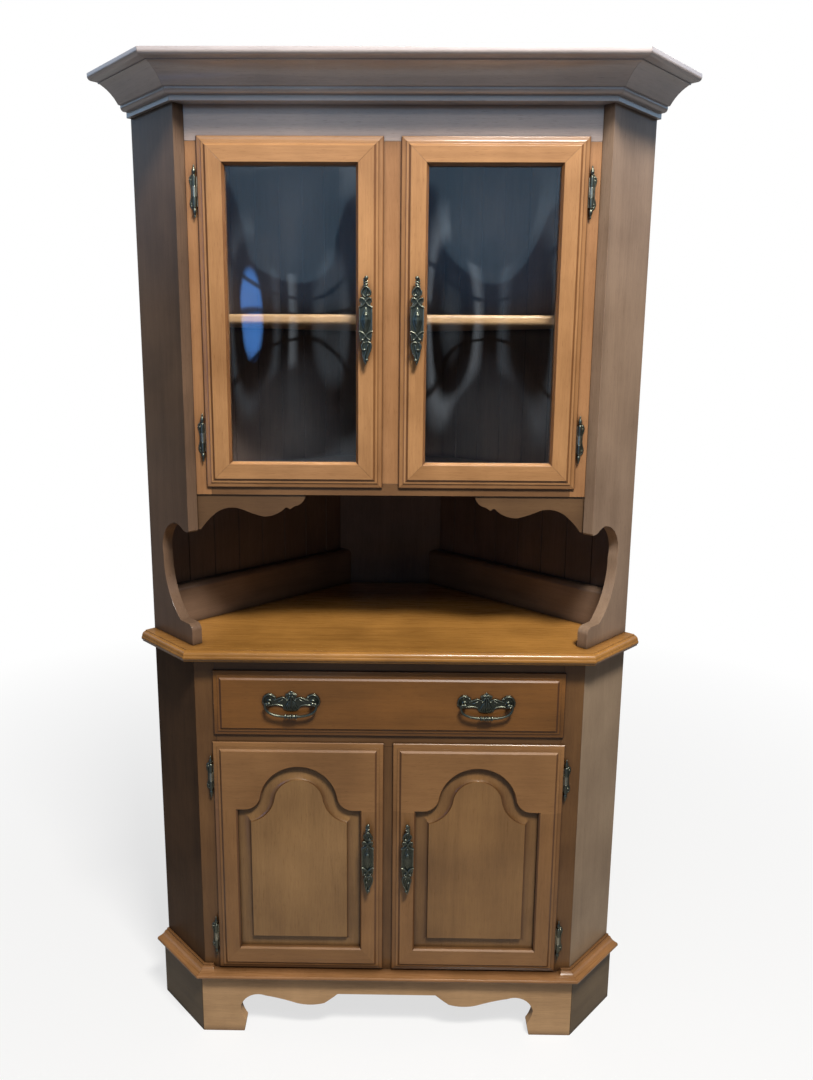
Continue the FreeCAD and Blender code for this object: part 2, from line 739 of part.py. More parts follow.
def frame_leaf(x, frame_y, z):
    """Fixed leaf on the frame, with two knuckles, the pin and a finial at each end."""
    y = frame_y - pivot_proud
    half = hinge_length / 2
    inner = middle_knuckle / 2 + knuckle_gap
    w = frame_leaf_width
    leaf = outline(
        (x, z - half - frame_leaf_tip), ((x + w * 0.8, z - half), (x + w, z - half * 0.6)),
        ((x + w * 0.7, z), (x + w, z + half * 0.6)),
        ((x + w * 0.8, z + half), (x, z + half + frame_leaf_tip)))
    pieces = [board(leaf, frame_y - frame_leaf_thickness, frame_y)]
    pieces.append(rod(V(x, y, z - half), V(0, 0, 1), pin_radius, hinge_length))
    for side in (-1, 1):
        low, high = sorted((z + side * inner, z + side * half))
        pieces.append(knuckle(x, y, low, high))
        pieces.append(box(x, x + barrel_radius, y, frame_y, low, high))
        tip = V(x, y, z + side * half)
        pieces.append(Part.makeCone(finial_radius, 0.8, finial_length, tip, V(0, 0, side)))
        bead = tip + V(0, 0, side * finial_length * 0.4)
        pieces.append(Part.makeSphere(finial_radius * 1.2, bead))
    return fused(*pieces)


def door_leaf(edge_x, frame_y, z):
    """Moving leaf on the door's edge, with the middle knuckle round the pin."""
    x = edge_x + pivot_out
    y = frame_y - pivot_proud
    half = hinge_length / 2
    inner = middle_knuckle / 2
    rim_front = frame_y - door_proud + edge_depth
    plate = box(edge_x, edge_x + door_leaf_thickness, rim_front, frame_y - lip_gap, z - half, z + half)
    web = box(edge_x, x, y, y + barrel_radius, z - inner, z + inner)
    barrel = knuckle(x, y, z - inner, z + inner)
    bore = rod(V(x, y, z - half), V(0, 0, 1), pin_radius + pin_fit, hinge_length)
    return fused(plate, web, barrel).cut(bore)


def door_pull(x, face, z):
    """Cast pull: scrolled bar on two posts, with a boss, crossed curls and end balls."""
    half = outline(*shares((0, 0), pull_width / 2, pull_half, [
        (0, 1), ((0.34, 0.95), (0.3, 0.89)), ((0.5, 0.82), (0.42, 0.75)), ((0.8, 0.65), (0.62, 0.54)),
        ((0.82, 0.5), (0.78, 0.42)), (1, 0.34), (0.94, 0.31), (0.94, -0.21), (1, -0.23),
        ((0.86, -0.4), (0.62, -0.47)), ((0.6, -0.66), (0.3, -0.86)), ((0.2, -0.97), (0, -1))]))
    back = face - pull_standoff
    front = back - pull_thickness
    bar = board(half, front, back)
    pieces = [bar, mirrored(bar)]
    for side in (-1, 1):
        post = V(0, face, side * pull_post_spacing / 2)
        pieces.append(rod(post, V(0, -1, 0), pull_post, pull_standoff + pull_thickness / 2))
        ball_z = side * (pull_half - 2 * pull_ball)
        pieces.append(Part.makeSphere(pull_ball, V(0, (front + back) / 2, ball_z)))
    reach = pull_boss_height / 2
    boss = outline((0, -reach), ((pull_boss_width / 2, 0), (0, reach)))
    boss = boss.extrude(V(0, -pull_boss_rise, 0)).translated(V(0, front, 0))
    pieces += [boss, mirrored(boss)]
    return fused(*pieces).translated(V(x, 0, z))


def bail_backplate(x, face, z):
    """Leafy plate with two posts, each bored across for an end of the bail."""
    post_x = bail_post_spacing / 2
    half = outline(*shares((0, 0), plate_half, plate_rise, [
        (0, 1), ((0.1, 0.9), (0.2, 0.64)), (0.13, 0.3), ((0.32, 0.48), (0.52, 0.26)), (0.55, 0.56),
        ((0.8, 0.74), (0.95, 0.36)), (1, -0.1), ((0.93, -0.38), (0.8, -0.45)), ((0.52, -0.3), (0.3, -0.42)),
        ((0.25, -0.72), (0.1, -0.82)), (0, -0.86)]))
    plate = board(half, face - plate_thickness, face)
    pieces = [plate, mirrored(plate)]
    for side in (-1, 1):
        foot = V(side * post_x, face, 0)
        pieces.append(rod(foot, V(0, -1, 0), bail_post, bail_standoff))
        pieces.append(Part.makeSphere(bail_post, foot + V(0, -bail_standoff, 0)))
    reach = post_x + 2 * bail_post
    bore = rod(V(-reach, face - bail_standoff, 0), V(1, 0, 0), bail_wire + bail_pin_fit, 2 * reach)
    return fused(*pieces).cut(bore).translated(V(x, 0, z))


def bail(x, face, z):
    """Bail wire hanging in its two posts, with a beaded knuckle in the middle."""
    post_x = bail_post_spacing / 2
    start = post_x + bail_post + bail_gap
    side_x = start + bail_bend
    low = -bail_drop
    bend = bail_bend * (1 - S)
    sweep = bail_sweep * (1 - S)
    half = [(post_x - bail_post / 2, 0), (start, 0), (side_x - bend, -bend), (side_x, -bail_bend)]
    half += [(side_x, low + bail_sweep), (side_x - sweep, low + sweep), (side_x - bail_sweep, low)]
    points = [V(px, 0, pz) for px, pz in both_sides(half)]
    edges = []
    for i in range(0, len(points), 3):
        edges.append(Part.LineSegment(points[i], points[i + 1]).toShape())
        if i + 3 < len(points):
            edges.append(Part.Arc(*points[i + 1:i + 4]).toShape())
    section = Part.Wire(Part.Circle(points[0], V(1, 0, 0), bail_wire).toShape())
    wire = Part.Wire(edges).makePipeShell([section], True, False)

    end = bail_knuckle / 2
    b = bail_bead
    neck = b * 0.85
    round_off = b * (1 - S)
    beads = outline(
        (-end, 0), ((round_off - end, b * S), (b - end, b)), (b - end, neck), (-b, neck), (-b, b), (b, b),
        (b, neck), (end - b, neck), (end - b, b), ((end - round_off, b * S), (end, 0)))
    knuckle_piece = beads.translated(V(0, 0, low)).revolve(V(0, 0, low), V(1, 0, 0), 360)
    return fused(wire, knuckle_piece).translated(V(x, face - bail_standoff, z))


# ---- Drawer ----
def drawer():
    """Lipped front, two sides, a back and a bottom panel held in grooves, with two bails."""
    face = lower_face
    rect = (-drawer_outer, drawer_outer, drawer_bottom_z, drawer_top_z)
    front = lipped_front(rect, face, drawer_lip, lip)
    front_back = face + door_thickness
    side_outer = base_opening - box_side_gap
    side_inner = side_outer - box_side_thickness
    low = drawer_opening + slide_gap
    high = low + box_height
    rear = wall_sum - back_thickness / S - side_outer - box_rear_gap
    floor_z = low + box_bottom_rise
    floor_top = floor_z + box_bottom_thickness
    groove_half = side_inner + box_groove
    groove_front = front_back - box_groove
    groove = box(-groove_half, groove_half, groove_front, rear, floor_z, floor_top)
    save("drawer_front", front.cut(groove))
    save_pair("drawer_sides", box(side_inner, side_outer, front_back, rear, low, high).cut(groove))
    back_front = rear - box_side_thickness
    save("drawer_back", box(-side_inner, side_inner, back_front, rear, floor_top, high))
    save("drawer_bottom", groove)

    middle_z = (drawer_bottom_z + drawer_top_z) / 2 + bail_rise
    bail_x = drawer_outer - bail_inset
    save_pair("bail_backplates", bail_backplate(bail_x, face, middle_z))
    save_sides("bail_%s", bail(bail_x, face, middle_z))


os.makedirs("parts", exist_ok=True)
base_case()
drawer_runners()
plinth()
base_moulding()
countertop()
hutch_case()
valance()
gallery()
crown()
drawer()
leaves = lower_door() + upper_door()
save("hinge_frame_leaves", *leaves, *[mirrored(leaf) for leaf in leaves])
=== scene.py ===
import json
import math

import bmesh
import bpy
from mathutils import Matrix, Vector


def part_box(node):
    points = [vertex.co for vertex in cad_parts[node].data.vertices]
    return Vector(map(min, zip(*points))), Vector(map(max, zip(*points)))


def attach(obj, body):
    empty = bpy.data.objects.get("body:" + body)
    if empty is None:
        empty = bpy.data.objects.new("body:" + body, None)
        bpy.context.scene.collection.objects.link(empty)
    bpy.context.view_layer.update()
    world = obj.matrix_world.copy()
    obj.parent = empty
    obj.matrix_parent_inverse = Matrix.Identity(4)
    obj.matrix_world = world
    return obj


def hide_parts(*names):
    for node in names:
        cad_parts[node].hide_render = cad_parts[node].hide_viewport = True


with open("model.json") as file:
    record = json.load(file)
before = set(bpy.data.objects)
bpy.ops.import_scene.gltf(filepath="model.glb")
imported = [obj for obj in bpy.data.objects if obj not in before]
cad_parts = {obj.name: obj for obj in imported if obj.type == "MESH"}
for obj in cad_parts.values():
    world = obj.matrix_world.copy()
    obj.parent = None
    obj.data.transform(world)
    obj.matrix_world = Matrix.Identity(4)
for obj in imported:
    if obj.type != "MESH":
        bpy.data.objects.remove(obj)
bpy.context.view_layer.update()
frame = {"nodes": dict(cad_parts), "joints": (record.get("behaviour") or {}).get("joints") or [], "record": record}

nodes = frame["nodes"]

# ---------------- lower case
# Side boards, face frame, floor and runners of the lower case, in solid birch and birch
# ply, wiped with a nutmeg stain and sprayed with satin lacquer. The arrises are eased.

weld_reach = 0.00001         # corners nearer than this are one corner
flat_angle = 0.6             # degrees; faces that meet flatter than this are one face
arris_angle = 28             # degrees; edges sharper than this are eased
usual_ease = 0.0009
crisp_angle = 32             # degrees; edges sharper than this stay crisp
untouched = (1, 1, 1, 1)     # multiplied in, it leaves a colour as it is


def stain(red, green, blue):
    """A colour read off a stained sample (0-255), as linear light."""
    def linear(value):
        value /= 255
        return value / 12.92 if value <= 0.04045 else ((value + 0.055) / 1.055) ** 2.4
    return (linear(red), linear(green), linear(blue), 1.0)


def new_finish(name, **settings):
    """A material, its tree and its shader, with plain settings such as Coat_Weight."""
    mat = bpy.data.materials.new(name)
    mat.use_nodes = True
    shader = mat.node_tree.nodes["Principled BSDF"]
    for label, value in settings.items():
        shader.inputs[label.replace("_", " ")].default_value = value
    return mat, mat.node_tree, shader


def add(tree, kind, **settings):
    """One node with its settings; inputs are given by name, as in_Scale for Scale."""
    node = tree.nodes.new(kind)
    for name, value in settings.items():
        if name.startswith("in_"):
            node.inputs[name[3:].replace("_", " ")].default_value = value
        else:
            setattr(node, name, value)
    return node


def object_coords(tree):
    return tree.nodes.new("ShaderNodeTexCoord").outputs["Object"]


def apart(tree, vector):
    """The three parts of a vector."""
    node = tree.nodes.new("ShaderNodeSeparateXYZ")
    tree.links.new(vector, node.inputs[0])
    return node.outputs


def maths(tree, operation, first, second=0.0):
    node = add(tree, "ShaderNodeMath", operation=operation)
    for socket, value in zip(node.inputs, (first, second)):
        if isinstance(value, bpy.types.NodeSocket):
            tree.links.new(value, socket)
        else:
            socket.default_value = value
    return node.outputs[0]


def ramp(tree, source, stops):
    """Colour ramp on a source; stops are (position, colour)."""
    node = tree.nodes.new("ShaderNodeValToRGB")
    band = node.color_ramp.elements
    while len(band) < len(stops):
        band.new(0.5)
    for element, (position, colour) in zip(band, stops):
        element.position = position
        element.color = colour
    tree.links.new(source, node.inputs[0])
    return node.outputs[0]


def noise(tree, coords, **settings):
    node = add(tree, "ShaderNodeTexNoise", **settings)
    tree.links.new(coords, node.inputs["Vector"])
    return node.outputs[0]


def mixed(tree, how, first, second):
    """One colour multiplied by another, or added to it."""
    node = add(tree, "ShaderNodeMix", data_type="RGBA", blend_type=how)
    node.inputs[0].default_value = 1.0
    tree.links.new(first, node.inputs[6])
    tree.links.new(second, node.inputs[7])
    return node.outputs[2]


def roughen(tree, shader, source, **limits):
    """Roughness that follows a source between two limits."""
    sheen = add(tree, "ShaderNodeMapRange", **limits)
    tree.links.new(source, sheen.inputs[0])
    tree.links.new(sheen.outputs[0], shader.inputs["Roughness"])


def emboss(tree, shader, source, strength, distance):
    """Fine relief with a source as its height."""
    bump = add(tree, "ShaderNodeBump", in_Strength=strength, in_Distance=distance)
    tree.links.new(source, bump.inputs["Height"])
    tree.links.new(bump.outputs[0], shader.inputs["Normal"])


def grain_coords(tree, along, seed, turn, paired):
    """Object coordinates of a board, and the same drawn out along its grain."""
    here = object_coords(tree)
    if paired:
        x, y, z = apart(tree, here)
        mirrored = tree.nodes.new("ShaderNodeCombineXYZ")
        for part, socket in zip((maths(tree, "ABSOLUTE", x), y, z), mirrored.inputs):
            tree.links.new(part, socket)
        here = mirrored.outputs[0]
    placed = add(tree, "ShaderNodeMapping", in_Location=(seed * 0.37, seed * 0.11, seed * 0.73),
                 in_Rotation=(0, 0, math.radians(turn)))
    tree.links.new(here, placed.inputs[0])
    stretch = [1.0, 1.0, 1.0]
    stretch["XYZ".index(along)] = 0.055
    drawn = add(tree, "ShaderNodeMapping", in_Scale=stretch)
    tree.links.new(placed.outputs[0], drawn.inputs[0])
    return placed.outputs[0], drawn.outputs[0]


def stained_wood(name, light, dark, along="Z", seed=0.0, turn=0.0, paired=False, gloss=0.30, lustre=1.0,
                 moulded=False):
    """Close-grained birch under a stain: slow figure, fine fibre, short pores, and a darker
    tone in corners and recesses from ambient occlusion, partly wiped stain that collects
    there and partly painted shade. On a moulded board, slopes that face to the sides and
    downwards are painted darker than its face, as painted shade."""
    mat, tree, shader = new_finish(
        name, Specular_IOR_Level=0.26 * lustre, Coat_Weight=0.34 * lustre, Coat_Roughness=0.14)
    light = stain(*light)
    dark = stain(*dark)
    placed, drawn = grain_coords(tree, along, seed, turn, paired)
    figure = noise(tree, drawn, in_Scale=26.0, in_Detail=4.0, in_Roughness=0.5, in_Distortion=0.9)
    fibre = noise(tree, drawn, in_Scale=300.0, in_Detail=5.0, in_Roughness=0.62, in_Distortion=0.15)
    pores = noise(tree, drawn, in_Scale=1150.0, in_Detail=2.0, in_Roughness=0.5)
    blotch = noise(tree, placed, in_Scale=6.5, in_Detail=3.0, in_Roughness=0.5)

    tone = maths(tree, "MULTIPLY", figure, 0.26)
    tone = maths(tree, "ADD", tone, maths(tree, "MULTIPLY", fibre, 0.24))
    tone = maths(tree, "ADD", tone, maths(tree, "MULTIPLY", blotch, 0.50))
    middle = [(a + b) / 2 for a, b in zip(light, dark)]
    colour = ramp(tree, tone, [(0.34, dark), (0.50, middle), (0.66, light)])
    pore = ramp(tree, pores, [(0.29, (0.78, 0.74, 0.71, 1)), (0.40, untouched)])
    # Ambient occlusion darkens corners and recesses: partly wiped stain, partly painted shade.
    hollow = add(tree, "ShaderNodeAmbientOcclusion", samples=6, in_Distance=0.018)
    glaze_and_shade = ramp(tree, hollow.outputs["AO"], [(0.32, (0.20, 0.16, 0.13, 1)), (0.94, untouched)])
    colour = mixed(tree, "MULTIPLY", mixed(tree, "MULTIPLY", colour, pore), glaze_and_shade)
    # Painted shade: slopes that face sideways or downwards are darkened; upward slopes stay bright.
    if moulded:
        facing = apart(tree, tree.nodes.new("ShaderNodeTexCoord").outputs["Normal"])
        aside = maths(tree, "ABSOLUTE", facing[0])
        lean = maths(tree, "MAXIMUM", aside, maths(tree, "MULTIPLY", facing[2], -1.0))
        painted_slope_shade = ramp(tree, lean, [(0.05, untouched), (0.40, (0.50, 0.43, 0.38, 1))])
        colour = mixed(tree, "MULTIPLY", colour, painted_slope_shade)
    tree.links.new(colour, shader.inputs["Base Color"])

    roughen(tree, shader, fibre, in_To_Min=gloss - 0.05, in_To_Max=gloss + 0.14)
    grooves = maths(tree, "ADD", fibre, maths(tree, "MULTIPLY", pores, 0.6))
    emboss(tree, shader, grooves, strength=0.10, distance=0.0004)
    return mat


def shape_tree(name, **inputs):
    """Tree that takes and gives a mesh, with its input and output nodes; inputs are kinds by name."""
    tree = bpy.data.node_groups.new(name, "GeometryNodeTree")
    face = tree.interface
    face.new_socket("Mesh", in_out="INPUT", socket_type="NodeSocketGeometry")
    for label, kind in inputs.items():
        face.new_socket(label, in_out="INPUT", socket_type="NodeSocket" + kind)
    face.new_socket("Mesh", in_out="OUTPUT", socket_type="NodeSocketGeometry")
    return tree, tree.nodes.new("NodeGroupInput"), tree.nodes.new("NodeGroupOutput")


def through(tree, source, *steps):
    """Lead a source through the first socket of each node in turn."""
    for step in steps:
        tree.links.new(source, step.inputs[0])
        source = step.outputs[0]
    return source


def smooth_by_angle():
    """Tree that smooths a mesh and keeps the edges sharper than a set angle."""
    tree, start, end = shape_tree("smooth_by_angle", Angle="Float")
    tree.interface.items_tree["Angle"].default_value = math.radians(crisp_angle)
    link = tree.links.new
    plain = add(tree, "GeometryNodeRemoveAttribute", in_Name="custom_normal")
    faces = add(tree, "GeometryNodeSetShadeSmooth", domain="FACE")
    angle = tree.nodes.new("GeometryNodeInputMeshEdgeAngle")
    sharp = add(tree, "FunctionNodeCompare", operation="GREATER_THAN")
    edges = add(tree, "GeometryNodeSetShadeSmooth", domain="EDGE", in_Shade_Smooth=False)
    link(angle.outputs["Unsigned Angle"], sharp.inputs[0])
    link(start.outputs["Angle"], sharp.inputs[1])
    link(sharp.outputs[0], edges.inputs["Selection"])
    link(through(tree, start.outputs["Mesh"], plain, faces, edges), end.inputs[0])
    return tree


keep_crisp = smooth_by_angle()


def finish_board(node, material, ease=usual_ease, rounds=2):
    """Give a board its finish, and ease its arrises with sandpaper."""
    piece = nodes[node]
    piece.data.materials.clear()
    piece.data.materials.append(material)
    weld = piece.modifiers.new("weld", "WELD")
    weld.merge_threshold = weld_reach
    flat = piece.modifiers.new("flat", "DECIMATE")
    flat.decimate_type = "DISSOLVE"
    flat.angle_limit = math.radians(flat_angle)
    if ease:
        bevel = piece.modifiers.new("ease", "BEVEL")
        bevel.width = ease
        bevel.segments = rounds
        bevel.limit_method = "ANGLE"
        bevel.angle_limit = math.radians(arris_angle)
        bevel.use_clamp_overlap = True
    crisp = piece.modifiers.new("crisp", "NODES")
    crisp.node_group = keep_crisp
    weighted = piece.modifiers.new("weighted", "WEIGHTED_NORMAL")
    weighted.keep_sharp = True


def stained_board(node, light, dark, name=None, ease=usual_ease, rounds=2, **wood):
    """Finish a board in a stain of its own."""
    finish_board(node, stained_wood(name or node, light, dark, **wood), ease, rounds)


lower_light = (157, 114, 71)
lower_dark = (125, 88, 52)
# Painted shade and painted light: both base side boards carry one stain, but the left is painted darker and the
# right lighter, as a lamp on the right would light them.
stained_board("base_side_left", (102, 76, 54), (72, 53, 38), "left_base_side", seed=1.0, lustre=0.1)
stained_board("base_side_right", (172, 148, 122), (140, 118, 96), "right_base_side", seed=2.0, lustre=0.3)
base_frame = ((124, 88, 52), (90, 61, 34))
stained_board("base_stiles", *base_frame, seed=3.0)
for number, rail in enumerate(("base_top_rail", "base_drawer_rail", "base_bottom_rail")):
    stained_board(rail, *base_frame, along="X", seed=4.0 + number)

inside = ((96, 70, 50), (62, 44, 32))
inside_level = stained_wood("inside_level", *inside, along="X", seed=8.0, gloss=0.5)
inside_upright = stained_wood("inside_upright", *inside, seed=9.0, gloss=0.5)
inside_runner = stained_wood("inside_runner", *inside, along="Y", seed=10.0, gloss=0.6)
finish_board("base_bottom_board", inside_level)
finish_board("base_back_panels", inside_upright, ease=0.0005)
finish_board("base_rear_board", inside_upright, ease=0.0005)
finish_board("drawer_runners", inside_runner)

# ---------------- plinth
# The front apron is band-sawn to a scroll between two bracket feet; plain boards close
# the canted sides. All of them are mitred at the corners and stand on the floor.

# Painted light: the plinth front is painted much paler than the rest of the lower case, to make up for the shade
# it stands in below the base moulding.
stained_board("plinth_front", (224, 180, 133), (176, 138, 97), ease=0.0012, along="X", seed=11.0)
stained_board("plinth_sides", (126, 106, 80), (94, 77, 56), "plinth_side", ease=0.0012, along="X",
              seed=12.0, turn=-45, paired=True, lustre=0.3)

# ---------------- base moulding
# Run from solid birch on a spindle moulder, mitred round the top of the plinth, and
# lowered under the doors with a router so that they swing over it.

stained_board("base_moulding_front", (178, 128, 84), lower_dark, "base_nose", ease=0.0007, along="X",
              seed=13.0, gloss=0.24)
stained_board("base_moulding_sides", (172, 122, 74), lower_dark, "base_return", ease=0.0007, along="X",
              seed=14.0, turn=-45, paired=True, gloss=0.24)

# ---------------- countertop
# Five-sided top glued up from birch boards, its front and canted edges moulded, stained
# a warmer, more golden tone than the case and lacquered.

stained_board("countertop", (176, 124, 60), (132, 90, 40), "counter_finish", ease=0.0007, along="X",
              seed=15.0, gloss=0.24)

# ---------------- drawer
# One wide drawer: a lipped front with a moulded edge, and a plain box of thin boards
# with its bottom held in grooves.

stained_board("drawer_front", (136, 90, 44), (100, 66, 31), ease=0.0004, along="X", seed=16.0, moulded=True)
box_wood = ((196, 168, 128), (160, 130, 92))
stained_board("drawer_sides", *box_wood, "box_side", along="Y", seed=17.0, gloss=0.5)
box_back = stained_wood("box_back", *box_wood, along="X", seed=18.0, gloss=0.5)
finish_board("drawer_back", box_back)
finish_board("drawer_bottom", box_back, ease=0.0)

# ---------------- lower doors
# Stiles and bottom rail are mitred; the wide top rail is sawn to a shouldered arch and
# butts on the stiles. A raised panel with a coved bevel floats in the frame's groove.


def door_finishes(door, light, dark, seed):
    """Finishes of a door's stiles and of its rails, from one stain."""
    stiles = stained_wood(door + "_stile", light, dark, seed=seed, moulded=True)
    rails = stained_wood(door + "_rail", light, dark, along="X", seed=seed + 2, moulded=True)
    return stiles, rails


panel_stains = {"left": ((162, 124, 80), (120, 88, 54)), "right": ((150, 112, 70), (112, 80, 48))}
for number, (side, panel_stain) in enumerate(panel_stains.items()):
    door = "lower_door_%s" % side
    stile_finish, rail_finish = door_finishes(door, lower_light, lower_dark, 20.0 + number)
    finish_board(door + "_stiles", stile_finish)
    finish_board(door + "_rails", rail_finish, ease=0.0008)
    stained_board(door + "_panel", *panel_stain, ease=0.0004, seed=24.0 + number, gloss=0.26, moulded=True)

# ---------------- upper case
# Side boards that come down to the counter as scrolled arms, a face frame set between
# them, floor, shelf and top, and back panels grooved to look like narrow boards.

bright_lustre = 3.6          # top rail and crown, rubbed to a higher shine
# Painted shade and painted light: both hutch side boards carry one stain, but the left is painted darker and the
# right lighter, as a lamp on the right would light them.
stained_board("hutch_side_left", (124, 98, 78), (88, 69, 55), "left_side", ease=0.0012, seed=30.0,
              lustre=0.6)
stained_board("hutch_side_right", (160, 134, 112), (124, 101, 82), "right_side", ease=0.0012, seed=31.0,
              lustre=0.6)
stained_board("hutch_stiles", (178, 130, 88), (140, 98, 62), seed=32.0)
# Painted sheen: the top rail is painted paler and greyer than the stiles of the same frame, to stand for a cool
# reflection on it.
stained_board("hutch_top_rail", (196, 170, 154), (162, 139, 125), "upper_rail", along="X", seed=33.0,
              lustre=bright_lustre)
# Painted shade: the bottom rail is painted darker than the stiles of the same frame, as the light falls off
# towards the bottom of the upper case.
stained_board("hutch_bottom_rail", (132, 96, 64), (104, 73, 47), "lower_rail", along="X", seed=34.0)
finish_board("hutch_floor", inside_level)
stained_board("hutch_shelf", (176, 138, 98), (148, 114, 80), "shelf", ease=0.0065, rounds=5, along="X",
              seed=35.0)
finish_board("hutch_top", inside_level)
back_board = stained_wood("back_board", (106, 88, 78), (74, 61, 54), seed=36.0, gloss=0.55, lustre=0.5)
finish_board("hutch_back_panels", back_board, ease=0.0)
finish_board("hutch_rear_board", back_board, ease=0.0005)

# ---------------- niche scrollwork
# Two scrolled brackets hang under the upper case, and a low gallery rail runs along
# each wall on the counter, its top inner edge rounded.

stained_board("valance_brackets", (112, 84, 57), (86, 62, 42), "bracket", ease=0.0010, along="X", seed=38.0)
stained_board("gallery_rails", (128, 103, 84), (90, 73, 60), "rail_low", along="X", seed=39.0, turn=45,
              paired=True)

# ---------------- crown
# Crown moulding in three lengths, mitred at the front corners: a flat fascia, a bead, a
# deep cove and a square upper edge.

# Painted sheen: the crown is painted a pale grey-pink, paler and greyer than the dark brown wood it is cut from,
# to stand for a cool reflection on it.
crown_stain_and_sheen = ((206, 192, 188), (166, 154, 151))
stained_board("crown_front", *crown_stain_and_sheen, ease=0.0006, along="X", seed=40.0, lustre=bright_lustre)
stained_board("crown_sides", *crown_stain_and_sheen, "crown_return", ease=0.0006, along="X", seed=41.0, turn=-45,
              paired=True, lustre=bright_lustre)

# ---------------- upper doors
# Mitred frames with a moulded outer edge and a plain bevel round the glass. The panes
# are slumped so that they swell out into the room, and thin stops hold them behind.

pane_rows = 64
pane_columns = 36
pane_thickness = 0.003
pane_bulge = 0.024


def clear_glass():
    """Slumped window glass: clear, with slow waves and a trace of haze where it was wiped."""
    mat, tree, shader = new_finish(
        "bubble_glass", Base_Color=(0.80, 0.86, 0.90, 1), Transmission_Weight=1.0, IOR=1.5)
    here = object_coords(tree)
    smears = noise(tree, here, in_Scale=14.0, in_Detail=3.0)
    roughen(tree, shader, smears, in_From_Min=0.55, in_From_Max=0.8, in_To_Min=0.0, in_To_Max=0.008)
    waves = noise(tree, here, in_Scale=9.0, in_Detail=0.0)
    emboss(tree, shader, waves, strength=0.35, distance=0.004)
    return mat


def shown(data, name="holder"):
    """An object in the scene for a mesh, a curve, a lamp or a camera."""
    holder = bpy.data.objects.new(name, data)
    bpy.context.scene.collection.objects.link(holder)
    return holder


def settled(holder):
    """The holder's shape with its modifiers applied, as a mesh; the holder goes."""
    view = bpy.context.evaluated_depsgraph_get()
    mesh = bpy.data.meshes.new_from_object(holder.evaluated_get(view))
    bpy.data.objects.remove(holder)
    return mesh


def set_inputs(modifier, values):
    """Set a tree's inputs on its modifier, each by its socket's identifier."""
    for socket in modifier.node_group.interface.items_tree:
        if socket.in_out == "INPUT" and socket.name in values:
            modifier[socket.identifier] = values[socket.name]


def slumped_sheet():
    """Tree of a closed sheet, flat at the rim, whose middle swells as slumped glass does."""
    tree, start, end = shape_tree("slumped_sheet", Width="Float", Height="Float", Bulge="Float",
                                  Thickness="Float", Columns="Int", Rows="Int", Glass="Material")
    link = tree.links.new
    grid = tree.nodes.new("GeometryNodeMeshGrid")
    for socket, name in zip(grid.inputs, ("Width", "Height", "Columns", "Rows")):
        link(start.outputs[name], socket)
    place = apart(tree, tree.nodes.new("GeometryNodeInputPosition").outputs[0])
    swell = start.outputs["Bulge"]
    for across, size in zip(place, ("Width", "Height")):
        share = maths(tree, "DIVIDE", maths(tree, "MULTIPLY", across, 2.0), start.outputs[size])
        dome = maths(tree, "SUBTRACT", 1.0, maths(tree, "MULTIPLY", share, share))
        swell = maths(tree, "MULTIPLY", swell, maths(tree, "MULTIPLY", dome, dome))
    domed = tree.nodes.new("GeometryNodeSetPosition")
    front = add(tree, "GeometryNodeExtrudeMesh", in_Individual=False)
    for step, rise in ((domed, swell), (front, start.outputs["Thickness"])):
        upwards = tree.nodes.new("ShaderNodeCombineXYZ")
        link(rise, upwards.inputs[2])
        link(upwards.outputs[0], step.inputs["Offset"])
    link(grid.outputs[0], domed.inputs["Geometry"])
    link(domed.outputs[0], front.inputs["Mesh"])
    rear = tree.nodes.new("GeometryNodeFlipFaces")
    link(domed.outputs[0], rear.inputs[0])
    closed = tree.nodes.new("GeometryNodeJoinGeometry")
    link(front.outputs[0], closed.inputs[0])
    link(rear.outputs[0], closed.inputs[0])
    merged = add(tree, "GeometryNodeMergeByDistance", in_Distance=weld_reach)
    real = tree.nodes.new("GeometryNodeRealizeInstances")
    finish = tree.nodes.new("GeometryNodeSetMaterial")
    link(start.outputs["Glass"], finish.inputs["Material"])
    link(through(tree, closed.outputs[0], merged, real, finish), end.inputs[0])
    return tree


def bubble_pane(name, node, body):
    """A pane over its node's rectangle, swelling to the front of its door."""
    low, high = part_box(node)
    holder = shown(bpy.data.meshes.new(name))
    pane_form = holder.modifiers.new("slump", "NODES")
    pane_form.node_group = slump
    set_inputs(pane_form, {
        "Width": high.x - low.x, "Height": high.z - low.z, "Bulge": pane_bulge, "Thickness": pane_thickness,
        "Columns": pane_columns, "Rows": pane_rows, "Glass": glass})
    mesh = settled(holder)
    mesh.name = name
    mesh.shade_smooth()
    upright = Matrix.Rotation(math.radians(90), 4, "X")
    middle = Vector(((low.x + high.x) / 2, high.y, (low.z + high.z) / 2))
    mesh.transform(Matrix.Translation(middle) @ upright)
    pane = shown(mesh, name)
    pane.visible_shadow = False
    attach(pane, body)
    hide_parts(node)


slump = slumped_sheet()
glass = clear_glass()
for number, side in enumerate(("left", "right")):
    door = "upper_door_%s" % side
    stile_finish, rail_finish = door_finishes(door, (186, 138, 92), (144, 102, 64), 42.0 + number)
    finish_board(door + "_stiles", stile_finish)
    finish_board(door + "_rails", rail_finish)
    finish_board(door + "_glass_stops", stile_finish, ease=0.0004)
    bubble_pane("bubble_pane_" + side, door + "_glass", door)

# ---------------- drawer bails
# Two bails swing in leafy backplates screwed to the drawer. All are cast in brass, plated
# nearly black and rubbed bright on the high places. Their sizes are in millimetres.

millimetre = 0.001
casting_grain = 0.42         # finest detail that the mould keeps
swing_height = 7.0           # pivots above the middle of the drawer front


